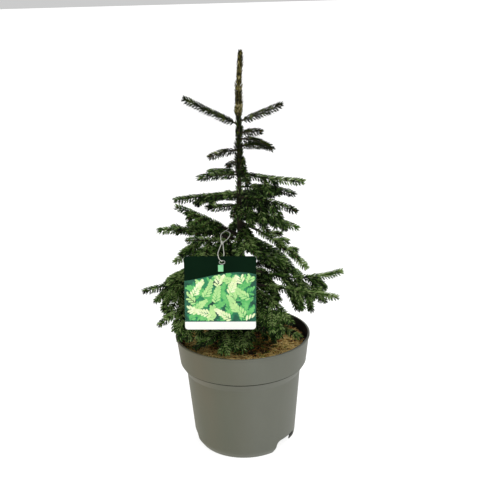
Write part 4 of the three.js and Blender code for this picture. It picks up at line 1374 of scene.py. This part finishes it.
def closed_rings(rings):
    """A body from rings that run once round its section, the last joined to the first."""
    quads = grid_quads(len(rings), len(rings[0]), closed=True)
    return np.concatenate(rings), quads[:, [0, 3, 2, 1]]


def print_finish(name, dark, light, size=14, gloss=0.2):
    """Ink under a clear film: two near tones, slightly glossy, with the faint waves of a thin card."""
    return cloudy_finish(name, 0.34, gloss, (size,), two_tones(dark, light), (9, EVEN, 1), 0.25, 0.25)


FRONT = LABEL["front"]
BACK = FRONT + LABEL["thick"]
card_outline = label_outline(lambda x: LABEL["bottom"], low_corner=LABEL["corner"])
card_inner = label_outline(lambda x: LABEL["bottom"], LABEL_EDGE, LABEL["corner"] - LABEL_EDGE)
card_rings = [
    on_label(hole_towards(card_inner), FRONT), on_label(card_inner, FRONT),
    on_label(card_outline, FRONT + LABEL_EDGE), on_label(card_outline, BACK - LABEL_EDGE),
    on_label(card_inner, BACK), on_label(hole_towards(card_inner), BACK)]
card_finish = print_finish("white_card", "eeefe9", "f6f7f2", 30)
label_card = make_joined("label_card", [closed_rings(card_rings)], card_finish, crease=35)
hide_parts("label")

# %% [markdown]
# Ink has hardly any thickness. Two coloured areas in one plane would flicker, so each print is a plate a
# twentieth of a millimetre thick, and later prints lie a little further forward.

# %% The header and the field, as thin layers of ink
INK = 0.05    # the header's ink also wraps the card's edge
HEADER_LOW = ((-73, 266.7), (-54, 270.3), (-28, 275.8), (-8, 278.8), (6, 277.9), (20, 275.6))
FIELD_LOW = 210
FIELD_INSET = 0.02
TAB = {"low": 279.4, "high": 288.4, "left": -29.2, "right": -22.4}


def header_low(x):
    """The header's lower edge: it climbs to the right and bends down again near the end."""
    heights = np.polynomial.Polynomial.fit(*zip(*HEADER_LOW), 4)
    return float(heights(x))


def field_strip(low, high, left, right, depth, thick, columns=40):
    """A thin plate between two edges that may curve, both given as heights across the label."""
    across = np.linspace(left, right, columns)
    bottom = np.column_stack([across, [low(x) for x in across]])
    top = np.column_stack([across, [high(x) for x in across]])
    rows = [on_label(bottom, depth - thick), on_label(top, depth - thick), on_label(top, depth),
            on_label(bottom, depth)]
    points = np.stack(rows, axis=1).reshape(-1, 3)
    last = (columns - 1) * 4
    caps = np.array([(0, 1, 2, 3), (last + 3, last + 2, last + 1, last)])
    return points, np.concatenate([grid_quads(columns, 4)[:, [1, 0, 3, 2]], caps])


header_outline = label_outline(header_low, -INK)
header_hole = hole_towards(header_outline, 0.3)
header = closed_rings([
    on_label(header_hole, FRONT - INK), on_label(header_outline, FRONT - INK),
    on_label(header_outline, BACK - LABEL_EDGE), on_label(header_hole, BACK - LABEL_EDGE)])
field = field_strip(lambda x: FIELD_LOW, lambda x: header_low(x) + 0.2, LABEL["left"] + FIELD_INSET,
                    LABEL["right"] - FIELD_INSET, FRONT, INK)
tab = field_strip(lambda x: TAB["low"], lambda x: TAB["high"], TAB["left"], TAB["right"], FRONT - INK, INK, 4)
PRINTS = [
    ("label_header", header, print_finish("print_dark", "03160a", "061d0e", 40, 0.03)),
    ("label_field", field, print_finish("print_teal", "163f33", "2c6a50", 9)),
    ("label_tab", tab, print_finish("print_pale", "7cc48c", "8fd29c", 5)),
]
for name, part, finish in PRINTS:
    make_joined(name, [part], finish, crease=30)

# %% Sprigs of leaves printed over the field
SPRIG_INKS = [
    # name, dark and light tone, sprigs across, sprigs up, leaves on a sprig
    ("shade", "23704c", "38945f", 8, 5, 12),
    ("green", "4cab5d", "78c973", 7, 4, 13),
    ("light", "9fd588", "c2e59a", 5, 3, 13),
    ("pale", "d3e6a4", "eef5cf", 4, 2, 13),
]
SPRIG_BAND = {"below": 6, "height": 66}
SPRIG_TURN = 80
SPRIG_BEND = 2.2
SPRIG_LEAF = {"length": 8.2, "width": 2.9, "gap": 1.9, "angle": 47}
SPRIG_TIP = {"angle": 0.6, "length": 0.45}
LEAF_CHANCE = (0.85, 1.1)
LEAF_CORNERS = 8
LEAF_LAYER = 0.00004
draw = np.random.default_rng(41)


def leaf_outline(foot, way, length, width):
    """A pointed oval from its foot along a direction, as a few corners."""
    turns = 2 * np.pi * np.arange(LEAF_CORNERS) / LEAF_CORNERS
    along_leaf = 0.5 - 0.5 * np.cos(turns)
    out = 0.5 * np.sin(turns) * (1 - 0.35 * np.cos(turns))
    side = np.array([-way[1], way[0]])
    return foot + way * (along_leaf * length)[:, None] + side * (out * width)[:, None]


def inside_field(outline):
    """Whether a leaf lies wholly on the field."""
    x, z = outline.T
    across = (x.min() > LABEL["left"] + 0.4) and (x.max() < LABEL["right"] - 0.4)
    return across and z.min() > FIELD_LOW + 0.3 and z.max() < header_low(x.mean()) - 0.5


def sprig_leaves(foot, azimuth, count):
    """Narrow leaves left and right of a bent stalk, shorter towards its tip, like a feather."""
    leaves = []
    place = np.array(foot, dtype=float)
    bend = draw.normal(0, SPRIG_BEND)
    for k in range(count):
        azimuth += bend
        stalk = np.array([math.cos(math.radians(azimuth)), math.sin(math.radians(azimuth))])
        share = k / (count - 1)
        turned = math.radians(azimuth + SPRIG_LEAF["angle"] * (1 - SPRIG_TIP["angle"] * share) * (-1) ** k)
        way = np.array([math.cos(turned), math.sin(turned)])
        taper = 1 - SPRIG_TIP["length"] * share ** 2
        length = SPRIG_LEAF["length"] * taper * draw.uniform(*LEAF_CHANCE)
        leaves.append(leaf_outline(place, way, length, SPRIG_LEAF["width"]))
        place = place + stalk * SPRIG_LEAF["gap"]
    return leaves


for layer, (ink, dark, light, columns, rows, leaf_count) in enumerate(SPRIG_INKS):
    front_of = FRONT - INK * (1 + 0.6 * layer)
    outlines = []
    for column in range(columns):
        for row in range(rows):
            x = LABEL["left"] + (column + draw.uniform(0.1, 0.9)) * (LABEL["right"] - LABEL["left"]) / columns
            z = FIELD_LOW - SPRIG_BAND["below"] + (row + draw.uniform(0.1, 0.9)) * SPRIG_BAND["height"] / rows
            leaves = sprig_leaves((x, z), 90 + draw.uniform(-SPRIG_TURN, SPRIG_TURN), leaf_count)
            outlines += [leaf for leaf in leaves if inside_field(leaf)]
    count = len(outlines)
    fronts = [on_label(o, front_of - INK * 0.5 - LEAF_LAYER * k) for k, o in enumerate(outlines)]
    backs = [on_label(o, front_of) for o in outlines]
    points = np.stack([fronts, backs], axis=1)
    first = (np.arange(count) * 2 * LEAF_CORNERS)[:, None]
    rim = np.arange(LEAF_CORNERS)
    rim_next = (rim + 1) % LEAF_CORNERS
    sides = np.stack([rim, rim_next, LEAF_CORNERS + rim_next, LEAF_CORNERS + rim], axis=1)
    make_piece(f"label_leaves_{ink}", points.reshape(-1, 3),
               [first + rim, first + LEAF_CORNERS + rim[::-1], (first[:, :, None] + sides).reshape(-1, 4)],
               print_finish(f"print_{ink}", dark, light, 7), smooth=False)

# %% [markdown]
# ## The string
#
# The label hangs on a thin white string: one loop goes through the hole, one round a bough, and both meet
# in a knot. A plain tube would do for its place, but real string is twisted. So each loop is two strands
# wound round each other along a smooth curve, and the knot is a short length of string tied through itself.

# %% The string's two loops and its knot
STRING_RADIUS = 0.5
TWIST_PITCH = 4.2
KNOT_RADIUS = 1.55
KNOT_STEPS = 60
KNOT_SCALE = 0.42
KNOT_STRING = 0.85
STRAND = {"offset": 0.48, "radius": 0.56}
STRAND_HINT = (0.2, 0.3, 1)
BLEND_SPANS = (((0, 1), (1, 2), (2, 3)), ((0, 2), (1, 3)), ((1, 2),))


def smooth_route(points, step=0.6):
    """A smooth curve through some points, by a rule that keeps bends even between near and far ones."""
    points = np.asarray(points, dtype=float)
    ends = np.concatenate([[2 * points[0] - points[1]], points, [2 * points[-1] - points[-2]]])
    knots = np.concatenate([[0], np.cumsum(np.linalg.norm(np.diff(ends, axis=0), axis=1) ** 0.5)])
    curve = []
    for k in range(1, len(ends) - 2):
        times = knots[k - 1:k + 3]
        count = max(2, int(np.linalg.norm(ends[k + 1] - ends[k]) / step))
        t = np.linspace(times[1], times[2], count, endpoint=False)[:, None]
        blends = ends[k - 1:k + 3]
        for spans in BLEND_SPANS:
            shares = [(t - times[a]) / (times[b] - times[a]) for a, b in spans]
            blends = [(1 - share) * first + share * second
                      for share, first, second in zip(shares, blends, blends[1:])]
        curve.append(blends[0])
    return np.concatenate([*curve, ends[-2:-1]])


def twisted(points):
    """Two strands wound round each other along a route."""
    route = smooth_route(points)
    _, first, second = frames_along(route, STRAND_HINT)
    marks = np.concatenate([[0], np.cumsum(np.linalg.norm(np.diff(route, axis=0), axis=1))])
    strands = []
    for half in (0, np.pi):
        turn = 2 * np.pi * marks / TWIST_PITCH + half
        offset = STRAND["offset"] * STRING_RADIUS
        centres = route + offset * (first * np.cos(turn)[:, None] + second * np.sin(turn)[:, None])
        radii = np.full((len(centres), 6), STRAND["radius"] * STRING_RADIUS)
        strands.append(sleeve(centres, radii, STRAND_HINT))
    return strands


hole_x, hole_z = LABEL_HOLE["x"], LABEL_HOLE["z"]
card_middle = FRONT + LABEL["thick"] / 2
bearing = hole_z + LABEL_HOLE["height"] / 2 - STRING_RADIUS - 2 * SEAT_GAP
lower_loop = [
    KNOT + (-0.8, 0, -0.5), (hole_x - 3.5, card_middle + 16, bearing + 11),
    (hole_x - 5, card_middle + 2, bearing + 9.5), (hole_x - 4.8, card_middle - 1, bearing + 8),
    (hole_x - 3.5, card_middle - 2.2, bearing + 4),
    (hole_x - 0.5, card_middle - 1.6, bearing + 0.4), (hole_x, card_middle, bearing - 0.3),
    (hole_x + 0.5, card_middle + 1.6, bearing + 0.4), (hole_x + 2.5, card_middle + 2.6, bearing + 7),
    (hole_x + 2, card_middle + 16, bearing + 12), KNOT + (0.8, 0, -0.5)]
string_limb = next(bough for bough in plant if bough["name"] == STRING_BOUGH)
loop_radius = np.interp(STRING_REACH, (0, string_limb["limb"]), LIMB_RADII) + STRING_RADIUS + SEAT_GAP
anchor_ahead = heading(ANCHOR_AZIMUTH, ANCHOR_RISE)
loop_first = np.array([0, -1.0, 0]) - anchor_ahead * (np.array([0, -1.0, 0]) @ anchor_ahead)
loop_first /= np.linalg.norm(loop_first)
loop_second = np.cross(anchor_ahead, loop_first)
round_limb = [ANCHOR + loop_radius * (loop_first * math.cos(t) + loop_second * math.sin(t))
              for t in 2 * np.pi * np.arange(1, 8) / 8]
to_knot = KNOT - ANCHOR
upper_loop = [
    KNOT + (-0.8, 0, 0.6), ANCHOR + 0.72 * to_knot + (-4, 0, 0.5),
    ANCHOR + 0.42 * to_knot + (-5, 0, 1.5), *round_limb, ANCHOR + 0.38 * to_knot + (6.5, 0, 1),
    ANCHOR + 0.7 * to_knot + (5, 0, -0.5), KNOT + (0.8, 0, 0.6)]
LOOSE_END = ((0, 0, 0), (5, -1, 1.5), (11, -3, 3.5), (16, -5, 4.5))
loose_end = [ANCHOR + along * anchor_ahead + (0, front, loop_radius + up) for along, front, up in LOOSE_END]
turns = np.linspace(0, 2 * np.pi, KNOT_STEPS)
knot_line = KNOT + KNOT_RADIUS * KNOT_SCALE * np.column_stack([
    np.sin(turns) + 2 * np.sin(2 * turns), 0.9 * np.sin(3 * turns), np.cos(turns) - 2 * np.cos(2 * turns)])
knot_part = sleeve(knot_line, np.full((KNOT_STEPS, 8), KNOT_STRING * STRING_RADIUS), (0, 1, 0))
string_parts = [*twisted(lower_loop), *twisted(upper_loop), *twisted(loose_end), knot_part]
string_finish = cloudy_finish("white_string", 0.6, 0.3, (2,), two_tones("c9ccc0", "e4e6dc"),
                              (0.4, EVEN, 2), 0.08, 0.6)
string = make_joined("string", string_parts, string_finish)
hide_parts("label_string")
